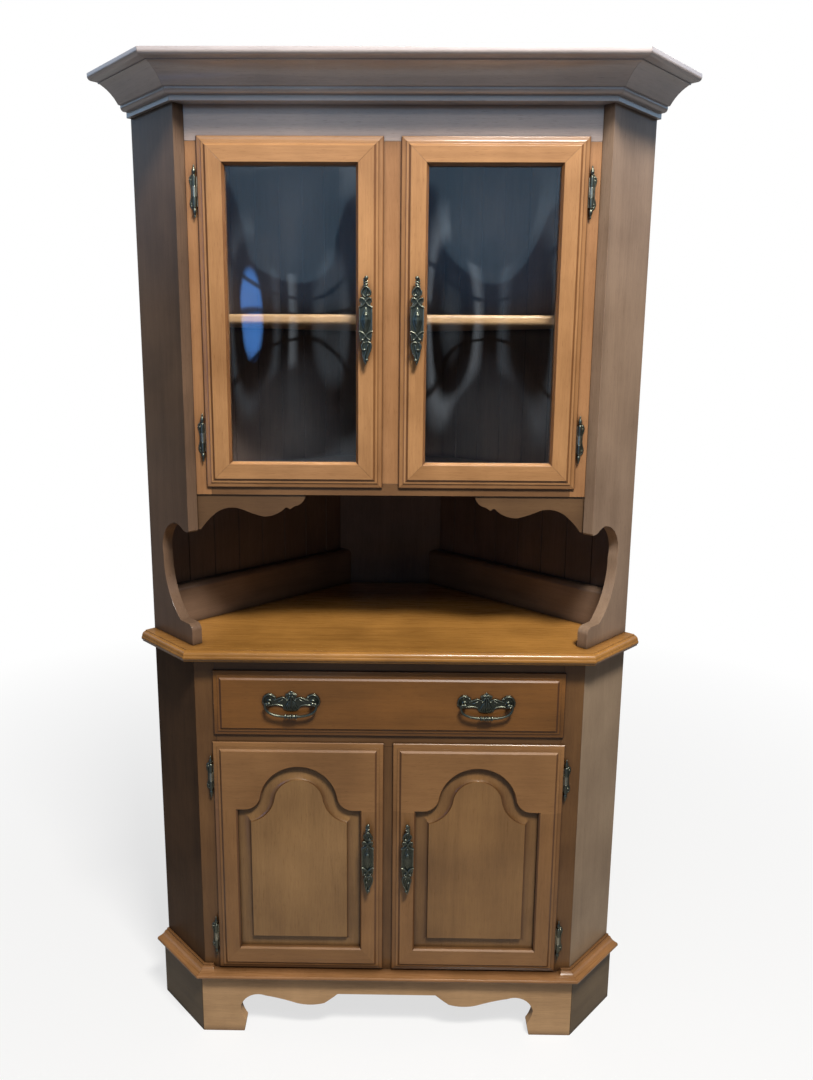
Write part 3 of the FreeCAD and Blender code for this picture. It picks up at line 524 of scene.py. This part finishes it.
def rubbed_brass():
    """Dark grey-green plating, rubbed back to pale brass on the edges and high places."""
    mat, tree, shader = new_finish("rubbed_brass", Metallic=1.0)
    cloud = noise(tree, object_coords(tree), in_Scale=420.0, in_Detail=5.0, in_Roughness=0.6)
    high = tree.nodes.new("ShaderNodeNewGeometry").outputs["Pointiness"]
    wear = maths(tree, "ADD", high, maths(tree, "MULTIPLY", cloud, 0.07))
    plated = (0.034, 0.040, 0.032, 1)
    worn = (0.14, 0.145, 0.11, 1)
    bright = (0.80, 0.73, 0.54, 1)
    colour = ramp(tree, wear, [(0.495, plated), (0.56, worn), (0.63, bright)])
    tree.links.new(colour, shader.inputs["Base Color"])
    roughen(tree, shader, cloud, in_To_Min=0.46, in_To_Max=0.26)
    emboss(tree, shader, cloud, strength=0.2, distance=0.0002)
    return mat


def stem(path, radii):
    """Round bar along a smooth path of (x, y, z), with a radius at each point."""
    curve = bpy.data.curves.new("stem", "CURVE")
    curve.dimensions = "3D"
    curve.bevel_depth = 1.0
    curve.bevel_resolution = 3
    curve.resolution_u = 6
    curve.use_fill_caps = True
    spline = curve.splines.new("NURBS")
    spline.points.add(len(path) - 1)
    for point, place, radius in zip(spline.points, path, radii):
        point.co = (*place, 1.0)
        point.radius = radius
    spline.order_u = 3
    spline.use_endpoint_u = True
    return settled(shown(curve))


def relief(depth, path, *radii):
    """Stem that lies on a plate: its path is in x and z, at one depth."""
    if len(radii) == 1:
        radii = radii * len(path)
    return stem([(x, depth, z) for x, z in path], radii)


def relief_pair(depth, path, *radii):
    """Relief along a path, and its mirror image."""
    return [relief(depth, [(side * x, z) for x, z in path], *radii) for side in (1, -1)]


def ball(x, y, z, radius, squash=1.0):
    form = bmesh.new()
    place = Matrix.Translation((x, y, z)) @ Matrix.Diagonal((1, squash, 1, 1))
    bmesh.ops.create_icosphere(form, subdivisions=3, radius=radius, matrix=place)
    return written(form)


def petal(depth, start, end, width, thickness):
    """Pointed oval between two places in x and z."""
    form = bmesh.new()
    bmesh.ops.create_uvsphere(form, u_segments=20, v_segments=12, radius=1.0)
    along = Vector((end[0] - start[0], 0, end[1] - start[1]))
    for vert in form.verts:
        vert.co.x *= 1 - 0.45 * abs(vert.co.z)
    size = Matrix.Diagonal((width / 2, thickness / 2, along.length / 2, 1))
    turn = along.to_track_quat("Z", "Y").to_matrix().to_4x4()
    middle = Vector(((start[0] + end[0]) / 2, depth, (start[1] + end[1]) / 2))
    form.transform(Matrix.Translation(middle) @ turn @ size)
    return written(form)


def turned(profile, centre=(0, 0, 0), axis="Z"):
    """Round form on an axis from (place along it, radius) pairs, closed at both ends."""
    form = bmesh.new()
    steps = 28
    rings = []
    for along, radius in profile:
        ring = []
        for step in range(steps):
            angle = 2 * math.pi * step / steps
            ring.append(form.verts.new((radius * math.cos(angle), radius * math.sin(angle), along)))
        rings.append(ring)
    for low, high in zip(rings, rings[1:]):
        for a, b, c, d in zip(low, low[1:] + low[:1], high[1:] + high[:1], high):
            form.faces.new((a, b, c, d))
    form.faces.new(reversed(rings[0]))
    form.faces.new(rings[-1])
    if axis != "Z":
        form.transform(Matrix.Rotation(math.radians(90), 4, {"X": "Y", "Y": "X"}[axis]))
    form.transform(Matrix.Translation(centre))
    bmesh.ops.recalc_face_normals(form, faces=form.faces)
    return written(form)


def sheet(points, back, front, rounding=0.5):
    """Flat plate from an outline in x and z, between two depths, its edges rounded."""
    curve = bpy.data.curves.new("sheet", "CURVE")
    curve.dimensions = "2D"
    curve.fill_mode = "BOTH"
    curve.extrude = abs(back - front) / 2 - rounding
    curve.bevel_depth = rounding
    curve.bevel_resolution = 2
    spline = curve.splines.new("POLY")
    spline.points.add(len(points) - 1)
    for point, place in zip(spline.points, points):
        point.co = (*place, 0.0, 1.0)
    spline.use_cyclic_u = True
    mesh = settled(shown(curve))
    upright = Matrix.Translation((0, (back + front) / 2, 0)) @ Matrix.Rotation(math.radians(90), 4, "X")
    mesh.transform(upright)
    return mesh


def written(form):
    mesh = bpy.data.meshes.new("form")
    form.to_mesh(mesh)
    form.free()
    return mesh


def cast(forms, grain, kept):
    """Melt overlapping closed forms into one skin, as a casting is, and thin its faces."""
    whole = bmesh.new()
    for mesh in forms:
        whole.from_mesh(mesh)
        bpy.data.meshes.remove(mesh)
    holder = shown(written(whole))
    skin = holder.modifiers.new("skin", "REMESH")
    skin.mode = "VOXEL"
    skin.voxel_size = grain
    soft = holder.modifiers.new("soft", "SMOOTH")
    soft.factor = 0.5
    soft.iterations = 2
    thin = holder.modifiers.new("thin", "DECIMATE")
    thin.ratio = kept
    return settled(holder)


def fixed_copies(name, casting, places, body, stands_for):
    """Copies of a casting at (x, y, z, side) places in metres, as one piece on a body."""
    whole = bmesh.new()
    for x, y, z, side in places:
        copy = bmesh.new()
        copy.from_mesh(casting)
        size = Matrix.Diagonal((side * millimetre, millimetre, millimetre, 1))
        copy.transform(Matrix.Translation((x, y, z)) @ size)
        if side < 0:
            bmesh.ops.reverse_faces(copy, faces=copy.faces)
        one = written(copy)
        whole.from_mesh(one)
        bpy.data.meshes.remove(one)
    mesh = written(whole)
    mesh.name = name
    mesh.shade_smooth()
    mesh.materials.clear()
    mesh.materials.append(brass)
    piece = shown(mesh, name)
    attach(piece, body)
    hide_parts(*stands_for)


brass = rubbed_brass()
front_low, front_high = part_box("drawer_front")
swing_z = (front_low.z + front_high.z) / 2 + swing_height * millimetre
bail_places = []
for side in ("left", "right"):
    low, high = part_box("bail_" + side)
    bail_places.append(((low.x + high.x) / 2, front_low.y, swing_z, 1))

post_apart = 43.0            # posts from the middle of a bail
post_out = 11.0              # pivots in front of the drawer
leaf_right = [
    (0, 22), (3, 20.5), (5, 18.6), (11, 16), (11.5, 13), (8.6, 9), (7.6, 6.4), (12, 8.6), (18.6, 10.2),
    (26, 8), (31, 5.4), (30.6, 10), (34, 13.4), (40, 16.6), (46, 17), (52, 13.4), (56, 7.6), (57.5, 1),
    (56.6, -4.4), (52, -8.8), (46, -10), (37, -8), (30, -7), (22, -8.2), (17, -10), (15, -15), (9, -18),
    (0, -18.9)]
leaf_outline = leaf_right + [(-x, z) for x, z in reversed(leaf_right) if x > 0]


def leafy_backplate():
    """Plate with scrolls at its ends, a crest, a fan of leaves in the middle, and two posts."""
    forms = [sheet(leaf_outline, 0.0, -2.0)]
    face = -2.3
    scroll = [(52.5, -7), (56, -1), (55.4, 6), (50.4, 13), (43.6, 15), (37, 13), (33.4, 9.8)]
    hump = [(34.5, 2.8), (27, 5.8), (18.6, 9.2), (11.6, 7.8), (8, 3.4)]
    hem = [(51, -7.6), (43, -8.8), (33, -6), (24, -6.4), (17, -9)]
    crest = [(1.2, 16), (3.2, 17.2), (7.4, 15.2), (11.2, 14.2)]
    forms += relief_pair(face, scroll, 1.2, 1.7, 2.1, 2.3, 2.3, 2.1, 1.9)
    forms += relief_pair(face, hump, 1.1, 1.6, 1.8, 1.6, 1.5)
    forms += relief_pair(face, hem, 0.9)
    forms += relief_pair(face, crest, 1.6, 1.8, 1.7, 1.1)
    post = [(0, 5.6), (1.6, 5.6), (2.6, 4.6), (3.4, 3.4), (7.2, 3.2), (8.4, 3.8)]
    for turn in (-1, 1):
        forms += [
            ball(turn * 33.2, face - 0.5, 10.2, 2.2),
            ball(turn * 8.0, face - 0.6, 3.6, 2.1),
            petal(face, (turn * 2.4, 12), (turn * 6.6, 1), 3.4, 3.4),
            petal(face, (turn * 16, 5), (turn * 27, -1), 3.6, 2.4),
            turned(post, (turn * post_apart, 0, 0), "Y"),
            ball(turn * post_apart, -post_out, 0, 4.0)]
    for rib in range(-3, 4):
        forms.append(petal(face, (rib * 1.2, 2), (rib * 4.3, abs(rib) * 0.8 - 18), 3.2, 3.4))
    forms.append(petal(face - 0.5, (0, 19), (0, -14), 4.6, 5.0))
    forms.append(petal(face + 0.6, (-0.8, 14), (0.6, 21.8), 3.4, 2.4))
    return cast(forms, casting_grain, kept=0.45)


def swinging_bail():
    """Bail in x and z about its pivots: a wide smile hung from two tight bends."""
    wire = 2.55
    drop = 27.0
    half = [(41, 0), (47.4, 0), (50.6, -0.8), (50.8, -6), (49.4, -13), (44.5, -19), (35, -23.6), (23, -26.4),
            (12, -drop)]
    path = half + [(-x, z) for x, z in reversed(half)]
    forms = [relief(0.0, path, wire)]
    half_grip = 12.5
    beads = [(0.0, 3.2), (0.3, 4.6), (1.5, 5.1), (2.8, 4.6), (3.4, 3.5), (7.0, 4.1), (8.0, 3.5), (8.6, 4.9),
             (9.9, 4.9), (10.4, 3.7), (11.5, 3.7)]
    profile = [(along - half_grip, radius) for along, radius in beads]
    profile += [(-0.8, 5.2), (0.8, 5.2)] + [(-along, radius) for along, radius in reversed(profile)]
    forms.append(turned(profile, (0, 0, -drop), "X"))
    return cast(forms, casting_grain, kept=0.5)


backplate = leafy_backplate()
fixed_copies("leafy_backplates", backplate, bail_places, "drawer", ["bail_backplates"])
bail_form = swinging_bail()
for side, (x, y, z, turn) in zip(("left", "right"), bail_places):
    hung = [(x, y - post_out * millimetre, z, turn)]
    fixed_copies("swinging_bail_" + side, bail_form, hung, "bail_" + side, ["bail_" + side])

# ---------------- door pulls
# One pattern of cast pull serves all four doors, left and right as mirror images: a plate
# with a drop-shaped boss between crossed curls, a leafy knot above and a long scroll below.

pull_back = -10.0            # back of the bar in front of the door
pull_outline = [
    (0, 77), (2.0, 74), (2.8, 68), (3.2, 62), (5.6, 57), (7.0, 51), (5.4, 45), (5.0, 41.5), (8.6, 37.5),
    (7.6, 33), (8.6, 28), (12.4, 25.4), (11.8, 23), (11.8, -17), (12.6, -19.6), (9.6, -24), (9.0, -30),
    (5.4, -35.4), (8.6, -42), (7.0, -52), (3.6, -61), (2.6, -69), (1.4, -76), (0, -78), (-1.4, -74),
    (-2.8, -66), (-4.8, -57), (-6.0, -48), (-6.4, -41), (-5.0, -35.4), (-9.0, -30), (-9.6, -24),
    (-12.6, -19.6), (-11.8, -17), (-11.8, 23), (-12.4, 25.4), (-8.6, 28), (-7.6, 33), (-8.6, 37.5),
    (-5.0, 41.5), (-5.6, 46), (-6.6, 52), (-4.2, 58), (-3.2, 64), (-3.0, 71), (-1.6, 75)]


def leafy_pull():
    """One cast pull about its middle, in millimetres."""
    back = pull_back
    face = back - 2.4
    high = face - 2.0
    forms = [sheet(pull_outline, back, face)]
    # twisted bud at the top
    forms += [ball(1.2, face - 1.0, 76.2, 3.7), ball(-3.0, face, 74.4, 1.6)]
    for z in (61.6, 66.0, 70.4):
        forms.append(petal(face - 0.4, (-5.2, z), (4.8, z + 5.0), 3.6, 3.6))
    # knot of leaves
    knot = [(-5.4, 56), (-3, 60.6), (2, 60.6), (6.4, 56.6), (9.6, 51), (8.6, 45.4), (4.2, 44)]
    forms += [
        relief(high, knot, 1.0, 1.5, 1.8, 1.9, 1.8, 1.6, 1.6),
        ball(3.6, high - 0.4, 45.4, 2.4),
        relief(face, [(-2, 58), (-7.4, 54.6), (-7.6, 49), (-4.4, 44.4), (0, 42)], 1.0, 1.5, 1.7, 1.4, 1.0),
        relief(face, [(1, 57), (2.6, 52.4), (-1.4, 48.6), (0.6, 44.6)], 1.2)]
    # crossed curls above and below the plate
    upper = [(-13.0, 24.4), (-6.4, 25.4), (0, 33.4), (3.8, 40.6), (9.6, 40.2), (10.8, 35.4), (8.6, 31.6)]
    lower = [(-12.9, -18.4), (-6.0, -19.4), (0, -27.4), (4.2, -32.4), (5.6, -33.4)]
    forms += relief_pair(high, upper, 1.2, 1.6, 1.7, 1.6, 1.6, 1.4, 1.0)
    forms += relief_pair(high, lower, 1.2, 1.6, 1.7, 1.5, 1.5)
    for turn in (-1, 1):
        forms += [
            ball(turn * 8.6, high - 0.2, 40.4, 2.0),
            ball(turn * 5.9, high - 0.2, -33.6, 2.3),
            relief(face, [(turn * 11.4, 22), (turn * 11.4, 3), (turn * 11.4, -16)], 0.8),
            relief(face, [(turn * 11.2, -23), (turn * 10.2, -29), (turn * 9.2, -37)], 1.0),
            turned([(0, 5.2), (1.4, 5.2), (2.4, 4.0), (10.6, 3.8)], (0, 0, turn * 46), "Y")]
    # plate and its boss
    forms += [
        petal(face - 0.6, (0, 24), (0, -21), 17, 3.2),
        petal(face - 0.8, (0, 16.7), (0, -12.5), 12.5, 7.4),
        ball(0, face - 1.5, 9.5, 4.4, 0.75)]
    # long scroll below
    scroll = [(0, -38.6), (3.4, -37.0), (9.0, -38.8), (10.6, -45), (8.6, -53), (5.4, -60.6), (2.6, -66.6),
              (2.6, -71)]
    eye = [(-3, -37.6), (-7.6, -42.6), (-7.0, -49.6), (-3.4, -53.4), (-0.8, -51.4)]
    tail = [(3.6, -43), (1.6, -52), (-1.4, -61), (-2.2, -69), (-0.4, -77)]
    forms += [
        relief(high, scroll, 1.3, 1.6, 1.8, 1.9, 1.7, 1.6, 1.5, 1.6),
        ball(2.4, high - 0.3, -70.2, 3.1),
        relief(high, eye, 1.2, 1.6, 1.7, 1.6, 1.5),
        ball(-2.0, high - 0.2, -51.6, 2.4),
        relief(face, tail, 1.3, 1.5, 1.5, 1.4, 1.1),
        relief(face, [(-6.6, -50), (-6.0, -57), (-4.6, -65), (-2.2, -74)], 1.0),
        petal(face + 0.4, (0.4, -70), (0, -80), 4.4, 3.0)]
    return cast(forms, casting_grain, kept=0.42)


pull_form = leafy_pull()
for level in ("lower", "upper"):
    for side, turn in (("left", 1), ("right", -1)):
        door = "%s_door_%s" % (level, side)
        low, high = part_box(door + "_pull")
        hung = [((low.x + high.x) / 2, high.y, (low.z + high.z) / 2, turn)]
        fixed_copies("leafy_pull_%s_%s" % (level, side), pull_form, hung, door, [door + "_pull"])

# ---------------- hinges
# Eight ornamental hinges: a scrolled leaf screwed to the face frame, a barrel round a pin
# with a bud at each end, and a narrow leaf on the edge of the door.

hinge_grain = 0.32
barrel_half = 25.5
barrel_radius = 3.5
knuckle_start = 8.8
frame_face = 6.0             # face frame behind the hinge axis
screw_height = 20.5          # screws above and below the middle of a leaf
screw_side = 6.2             # and beside the hinge axis
screw_face = 4.3             # and behind it
leaf_half = [(0.4, 31.6), (3.6, 31.2), (6.2, 28.4), (9.0, 25.6), (10.0, 20.4), (9.2, 15.4), (7.4, 10.6),
             (6.8, 5), (6.8, 0)]


def scrolled_leaf():
    """Fixed leaf with its knuckles, pin and two buds, about the middle of the hinge axis."""
    below = [(x, -z) for x, z in reversed(leaf_half[:-1])]
    forms = [sheet(leaf_half + below, frame_face, frame_face - 1.4, 0.4)]
    bud = [(0.0, 3.2), (1.0, 3.5), (1.8, 2.9), (2.8, 1.9), (4.0, 2.0), (6.2, 3.1), (8.6, 3.5), (11.2, 3.0),
           (14.2, 1.8), (16.2, 1.2), (17.4, 1.5), (18.8, 1.3), (20.0, 0.4)]
    rim = frame_face - 1.5
    web = barrel_radius
    for turn in (-1, 1):
        low, high = sorted((turn * knuckle_start, turn * barrel_half))
        profile = [(turn * (barrel_half + along), radius) for along, radius in bud]
        curl = [(1.4, 24), (5.4, 27.4), (8.4, 23.4), (8.4, 18), (6.4, 11), (5.8, 0)]
        forms += [
            turned([(low, 3.0), (low + 0.5, barrel_radius), (high - 0.5, barrel_radius), (high, 3.0)]),
            turned(profile[::turn]),
            stem([(0, 1.0, low), (0, 1.0, high)], (2.6, 2.6)),
            sheet([(0, low), (web, low), (web, high), (0, high)], frame_face, 0.5, 0.3),
            relief(rim, [(x, turn * z) for x, z in curl], 0.9),
            ball(3.2, rim, turn * 30.2, 1.8),
            petal(rim, (4.4, turn * 9), (4.4, turn), 2.6, 1.6)]
    forms.append(turned([(-barrel_half, 1.5), (barrel_half, 1.5)]))
    return cast(forms, hinge_grain, kept=0.35)


hinge_form = scrolled_leaf()
hinge_places = []
for joint in frame["joints"]:
    if "door" in joint["name"]:
        x, y, z = joint["pos_m"]
        low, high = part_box(joint["child"] + "_hinge_leaves")
        for middle in (low.z + barrel_half * millimetre, high.z - barrel_half * millimetre):
            hinge_places.append((x, y, middle, 1 if x > 0 else -1))
        finish_board(joint["child"] + "_hinge_leaves", brass, ease=0.0002)
fixed_copies("scrolled_hinge_leaves", hinge_form, hinge_places, "root", ["hinge_frame_leaves"])


def row_of_heads():
    """Tree that sets domed screw or nail heads at the points of a mesh, facing a direction."""
    tree, start, end = shape_tree("row_of_heads", Radius="Float", Rise="Float", Facing="Vector",
                                  Finish="Material")
    link = tree.links.new
    head = add(tree, "GeometryNodeMeshUVSphere", in_Segments=14, in_Rings=8)
    flat = tree.nodes.new("GeometryNodeTransform")
    low = tree.nodes.new("ShaderNodeCombineXYZ")
    low.inputs[0].default_value = 1.0
    low.inputs[1].default_value = 1.0
    points = tree.nodes.new("GeometryNodeMeshToPoints")
    turn = add(tree, "FunctionNodeAlignEulerToVector", axis="Z")
    place = tree.nodes.new("GeometryNodeInstanceOnPoints")
    real = tree.nodes.new("GeometryNodeRealizeInstances")
    finish = tree.nodes.new("GeometryNodeSetMaterial")
    link(start.outputs["Radius"], head.inputs["Radius"])
    link(start.outputs["Rise"], low.inputs[2])
    link(head.outputs["Mesh"], flat.inputs["Geometry"])
    link(low.outputs[0], flat.inputs["Scale"])
    link(flat.outputs[0], place.inputs["Instance"])
    link(start.outputs["Facing"], turn.inputs["Vector"])
    link(turn.outputs[0], place.inputs["Rotation"])
    link(start.outputs["Finish"], finish.inputs["Material"])
    link(through(tree, start.outputs["Mesh"], points, place, real, finish), end.inputs[0])
    return tree


heads = row_of_heads()


def driven(name, places, radius, rise, facing, material, body):
    """Heads at places in metres, as one plain mesh on a body."""
    dots = bpy.data.meshes.new(name)
    dots.from_pydata(places, [], [])
    holder = shown(dots)
    row = holder.modifiers.new("row", "NODES")
    row.node_group = heads
    set_inputs(row, {"Radius": radius, "Rise": rise, "Facing": facing, "Finish": material})
    mesh = settled(holder)
    mesh.name = name
    mesh.shade_smooth()
    piece = shown(mesh, name)
    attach(piece, body)


screw_places = []
for x, y, z, side in hinge_places:
    for along in (-screw_height, screw_height):
        screw_places.append(
            (x + side * screw_side * millimetre, y + screw_face * millimetre, z + along * millimetre))
driven("hinge_screws", screw_places, radius=0.0017, rise=0.5, facing=(0, -1, 0), material=brass,
       body="root")

# ---------------- nails
# The back panels are nailed on from behind, one row of small wire nails along each
# long edge, driven almost flush.

nail_spacing = 0.11
nail_edge = 0.012


def dull_steel():
    """Bare wire nails, dull and spotted with rust."""
    mat, tree, shader = new_finish("nail_steel", Metallic=1.0)
    rust = noise(tree, object_coords(tree), in_Scale=300.0, in_Detail=3.0)
    tint = ramp(tree, rust, [(0.35, (0.10, 0.075, 0.06, 1)), (0.65, (0.34, 0.33, 0.32, 1))])
    tree.links.new(tint, shader.inputs["Base Color"])
    roughen(tree, shader, rust, in_To_Min=0.4, in_To_Max=0.7)
    return mat


nail_steel = dull_steel()
diagonal = math.sqrt(0.5)
for node in ("hutch_back_panels", "base_back_panels"):
    low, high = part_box(node)
    rows = int((high.z - low.z - 2 * nail_edge) / nail_spacing)
    for mount in frame["record"]["mounts"]:
        if not mount["name"].startswith("wall"):
            continue
        side = 1 if mount["pos_m"][0] > 0 else -1
        reach = abs(mount["pos_m"][0]) + mount["pos_m"][1]       # |x| + y all over this wall plane
        places = []
        for x in (high.x - nail_edge * diagonal, reach - high.y + nail_edge * diagonal):
            for row in range(rows + 1):
                z = low.z + nail_edge + (high.z - low.z - 2 * nail_edge) * row / rows
                places.append((side * x, reach - x, z))
        name = "%s_nails_%s" % (node, "right" if side > 0 else "left")
        driven(name, places, radius=0.0022, rise=0.2, facing=(side * diagonal, diagonal, 0),
               material=nail_steel, body="root")

# ---------------- floor and light
# A pale floor, two plain soft lamps above and in front, and a dim screen round the front
# that shows only where glass, lacquer or brass mirrors it. The camera is 1.4 m up.

floor_reach = 30.0
shade_reach = 0.6            # the floor keeps its shade as far from the middle as this
bright_reach = 2.6           # and has lost it at this distance
near_share = 0.70            # how far the floor beside the object is lifted to white
mirror_share = 0.15          # of the pale background's brightness, in what mirrors it
room_strength = 0.08         # of the even light from all round


def was_mirrored(tree):
    """1 for rays that a shiny face has turned back, even if glass lies behind them."""
    return maths(tree, "GREATER_THAN", tree.nodes.new("ShaderNodeLightPath").outputs["Glossy Depth"], 0.5)


def seen_directly(tree):
    """1 for rays that show the background itself, seen or through glass, and less once mirrored."""
    rays = tree.nodes.new("ShaderNodeLightPath")
    seen = maths(tree, "MAXIMUM", rays.outputs["Is Camera Ray"], rays.outputs["Is Glossy Ray"])
    seen = maths(tree, "MAXIMUM", seen, rays.outputs["Is Transmission Ray"])
    kept = maths(tree, "SUBTRACT", 1.0, maths(tree, "MULTIPLY", was_mirrored(tree), 1.0 - mirror_share))
    unscattered = maths(tree, "LESS_THAN", rays.outputs["Diffuse Depth"], 0.5)
    return maths(tree, "MULTIPLY", maths(tree, "MULTIPLY", seen, kept), unscattered)


def shaders_mixed(tree, share, first, second, output):
    """The first shader, and by its share the second, led to the output."""
    mix = tree.nodes.new("ShaderNodeMixShader")
    for source, socket in zip((share, first.outputs[0], second.outputs[0]), mix.inputs):
        tree.links.new(source, socket)
    tree.links.new(mix.outputs[0], output.inputs[0])


def pale_floor():
    """White far out, pale beside the object, where it keeps the object's shadow."""
    mat, tree, shader = new_finish("floor", Roughness=0.9)
    seen = seen_directly(tree)
    paint = add(tree, "ShaderNodeMix", data_type="RGBA")
    paint.inputs[6].default_value = (0.30, 0.30, 0.30, 1)        # what it throws back on the object
    paint.inputs[7].default_value = (0.90, 0.90, 0.90, 1)
    tree.links.new(seen, paint.inputs[0])
    tree.links.new(paint.outputs[2], shader.inputs["Base Color"])
    white = add(tree, "ShaderNodeEmission", in_Color=(1, 1, 1, 1))
    away = add(tree, "ShaderNodeVectorMath", operation="LENGTH")
    tree.links.new(object_coords(tree), away.inputs[0])
    fade = add(tree, "ShaderNodeMapRange", in_From_Min=shade_reach, in_From_Max=bright_reach,
               in_To_Min=near_share, in_To_Max=1.0)
    tree.links.new(away.outputs["Value"], fade.inputs[0])
    share = maths(tree, "MULTIPLY", seen, fade.outputs[0])
    shaders_mixed(tree, share, shader, white, tree.nodes["Material Output"])
    return mat


floor_mesh = bpy.data.meshes.new("floor")
floor_corners = [(x * floor_reach, y * floor_reach, 0) for x, y in ((-1, -1), (1, -1), (1, 1), (-1, 1))]
floor_mesh.from_pydata(floor_corners, [], [(0, 1, 2, 3)])
floor_mesh.materials.append(pale_floor())
floor = shown(floor_mesh, "floor")

world = bpy.data.worlds.new("studio")
bpy.context.scene.world = world
world.use_nodes = True
sky = world.node_tree
room = sky.nodes["Background"]
room.inputs[0].default_value = (0.94, 0.97, 1.0, 1)
room.inputs[1].default_value = room_strength
plain = add(sky, "ShaderNodeBackground", in_Color=(1, 1, 1, 1), in_Strength=1.0)
shaders_mixed(sky, seen_directly(sky), room, plain, sky.nodes["World Output"])

screen_radius = 4.5
screen_apron = 0.9           # its foot sweeps forward over the floor as far as this
screen_foot = 0.01           # just clear of the floor
screen_height = 4.2
screen_strength = 0.66
screen_sweep = 128           # degrees to each side of the front
screen_steps = 48


def dim_screen():
    """Dark cloth with a few tall soft panels of cool light, seen only as a reflection."""
    mat, tree, shader = new_finish("screen")
    tree.nodes.remove(shader)
    x, y, z = apart(tree, object_coords(tree))
    bearing = maths(tree, "ARCTAN2", x, maths(tree, "MULTIPLY", y, -1.0))
    share = maths(tree, "ADD", maths(tree, "DIVIDE", bearing, math.radians(2 * screen_sweep)), 0.5)
    cloth = (0.02, 0.024, 0.03, 1)
    grey = (0.5, 0.58, 0.66, 1)
    blue = (0.9, 2.8, 7.5, 1)
    pale = (1.3, 1.42, 1.55, 1)
    side = (0.9, 0.88, 0.85, 1)
    panels = ramp(tree, share, [
        (0.06, side), (0.12, cloth), (0.310, cloth), (0.314, blue), (0.346, blue), (0.350, cloth),
        (0.375, cloth), (0.395, grey), (0.42, cloth), (0.445, cloth), (0.462, pale), (0.47, pale),
        (0.50, cloth), (0.55, cloth), (0.575, grey), (0.59, grey), (0.62, cloth), (0.88, cloth),
        (0.94, side)])
    rise = maths(tree, "DIVIDE", z, screen_height)
    dim = (0.10, 0.10, 0.10, 1)
    reach = ramp(tree, rise, [
        (0.10, dim), (0.16, untouched), (0.26, untouched), (0.27, dim), (0.28, dim), (0.29, untouched),
        (0.40, untouched), (0.41, dim), (0.42, dim), (0.43, untouched), (0.50, untouched), (0.51, dim),
        (0.52, dim), (0.53, untouched), (0.66, untouched), (0.68, dim)])
    black = (0, 0, 0, 1)
    over = ramp(tree, rise, [
        (0.0, (0.34, 0.35, 0.38, 1)), (0.10, (0.20, 0.21, 0.24, 1)), (0.22, black), (0.40, black),
        (0.52, (0.14, 0.30, 0.52, 1)), (0.60, (0.18, 0.34, 0.58, 1)), (0.62, (0.56, 0.92, 1.32, 1)),
        (0.80, (0.76, 1.12, 1.56, 1)), (1.0, (1.3, 1.6, 2.0, 1))])
    glow = add(tree, "ShaderNodeEmission", in_Strength=screen_strength)
    tree.links.new(mixed(tree, "ADD", mixed(tree, "MULTIPLY", panels, reach), over), glow.inputs[0])
    open_air = tree.nodes.new("ShaderNodeBsdfTransparent")
    shaders_mixed(tree, was_mirrored(tree), open_air, glow, tree.nodes["Material Output"])
    return mat


screen_profile = ((screen_apron, screen_foot), (screen_radius, screen_foot), (screen_radius, screen_height))
screen_mesh = bpy.data.meshes.new("screen")
screen_verts = []
screen_faces = []
for step in range(screen_steps + 1):
    angle = math.radians(screen_sweep * (2 * step / screen_steps - 1))
    for radius, z in screen_profile:
        screen_verts.append((radius * math.sin(angle), -radius * math.cos(angle), z))
for step in range(screen_steps):
    for a in (3 * step, 3 * step + 1):
        screen_faces.append((a, a + 1, a + 4, a + 3))
screen_mesh.from_pydata(screen_verts, [], screen_faces)
screen_mesh.materials.append(dim_screen())
screen = shown(screen_mesh, "screen")
screen.visible_camera = False
screen.visible_diffuse = False
screen.visible_shadow = False


def soft_light(name, place, target, size, power, colour):
    lamp = bpy.data.lights.new(name, "AREA")
    lamp.shape = "RECTANGLE"
    lamp.size, lamp.size_y = size
    lamp.energy = power
    lamp.color = colour
    holder = shown(lamp, name)
    aim = Vector(target) - Vector(place)
    holder.matrix_world = Matrix.Translation(place) @ aim.to_track_quat("-Z", "Y").to_matrix().to_4x4()
    holder.visible_transmission = False


soft_light("key", place=(0.65, -1.85, 3.70), target=(0, -0.1, 1.1), size=(0.8, 0.5), power=145,
           colour=(1.0, 0.97, 0.92))
soft_light("front", place=(0.0, -2.3, 3.3), target=(0, 0, 1.4), size=(2.0, 0.4), power=12,
           colour=(0.94, 0.97, 1.0))

image_width = 813            # pixels, as are the next four
image_height = 1080
focal_length = 806.18
axis_x = 381.96              # where the camera's axis meets the image, from its upper left
axis_y = 503.73
camera_place = (0.0022, -1.7108, 1.4308)
turns = ((0.67, "Z"), (90 - 10.36, "X"), (0.31, "Z"))            # degrees: yaw, tilt from straight down, roll
camera_data = bpy.data.cameras.new("camera")
camera = shown(camera_data, "camera")
bpy.context.scene.camera = camera
camera_data.sensor_fit = "VERTICAL"
camera_data.sensor_height = 24.0
camera_data.lens = focal_length / image_height * camera_data.sensor_height
camera_data.shift_x = (image_width / 2 - axis_x) / image_height
camera_data.shift_y = (axis_y - image_height / 2) / image_height
stance = Matrix.Translation(camera_place)
for degrees, axis in turns:
    stance = stance @ Matrix.Rotation(math.radians(degrees), 4, axis)
camera.matrix_world = stance
bpy.context.scene.view_settings.view_transform = "Standard"
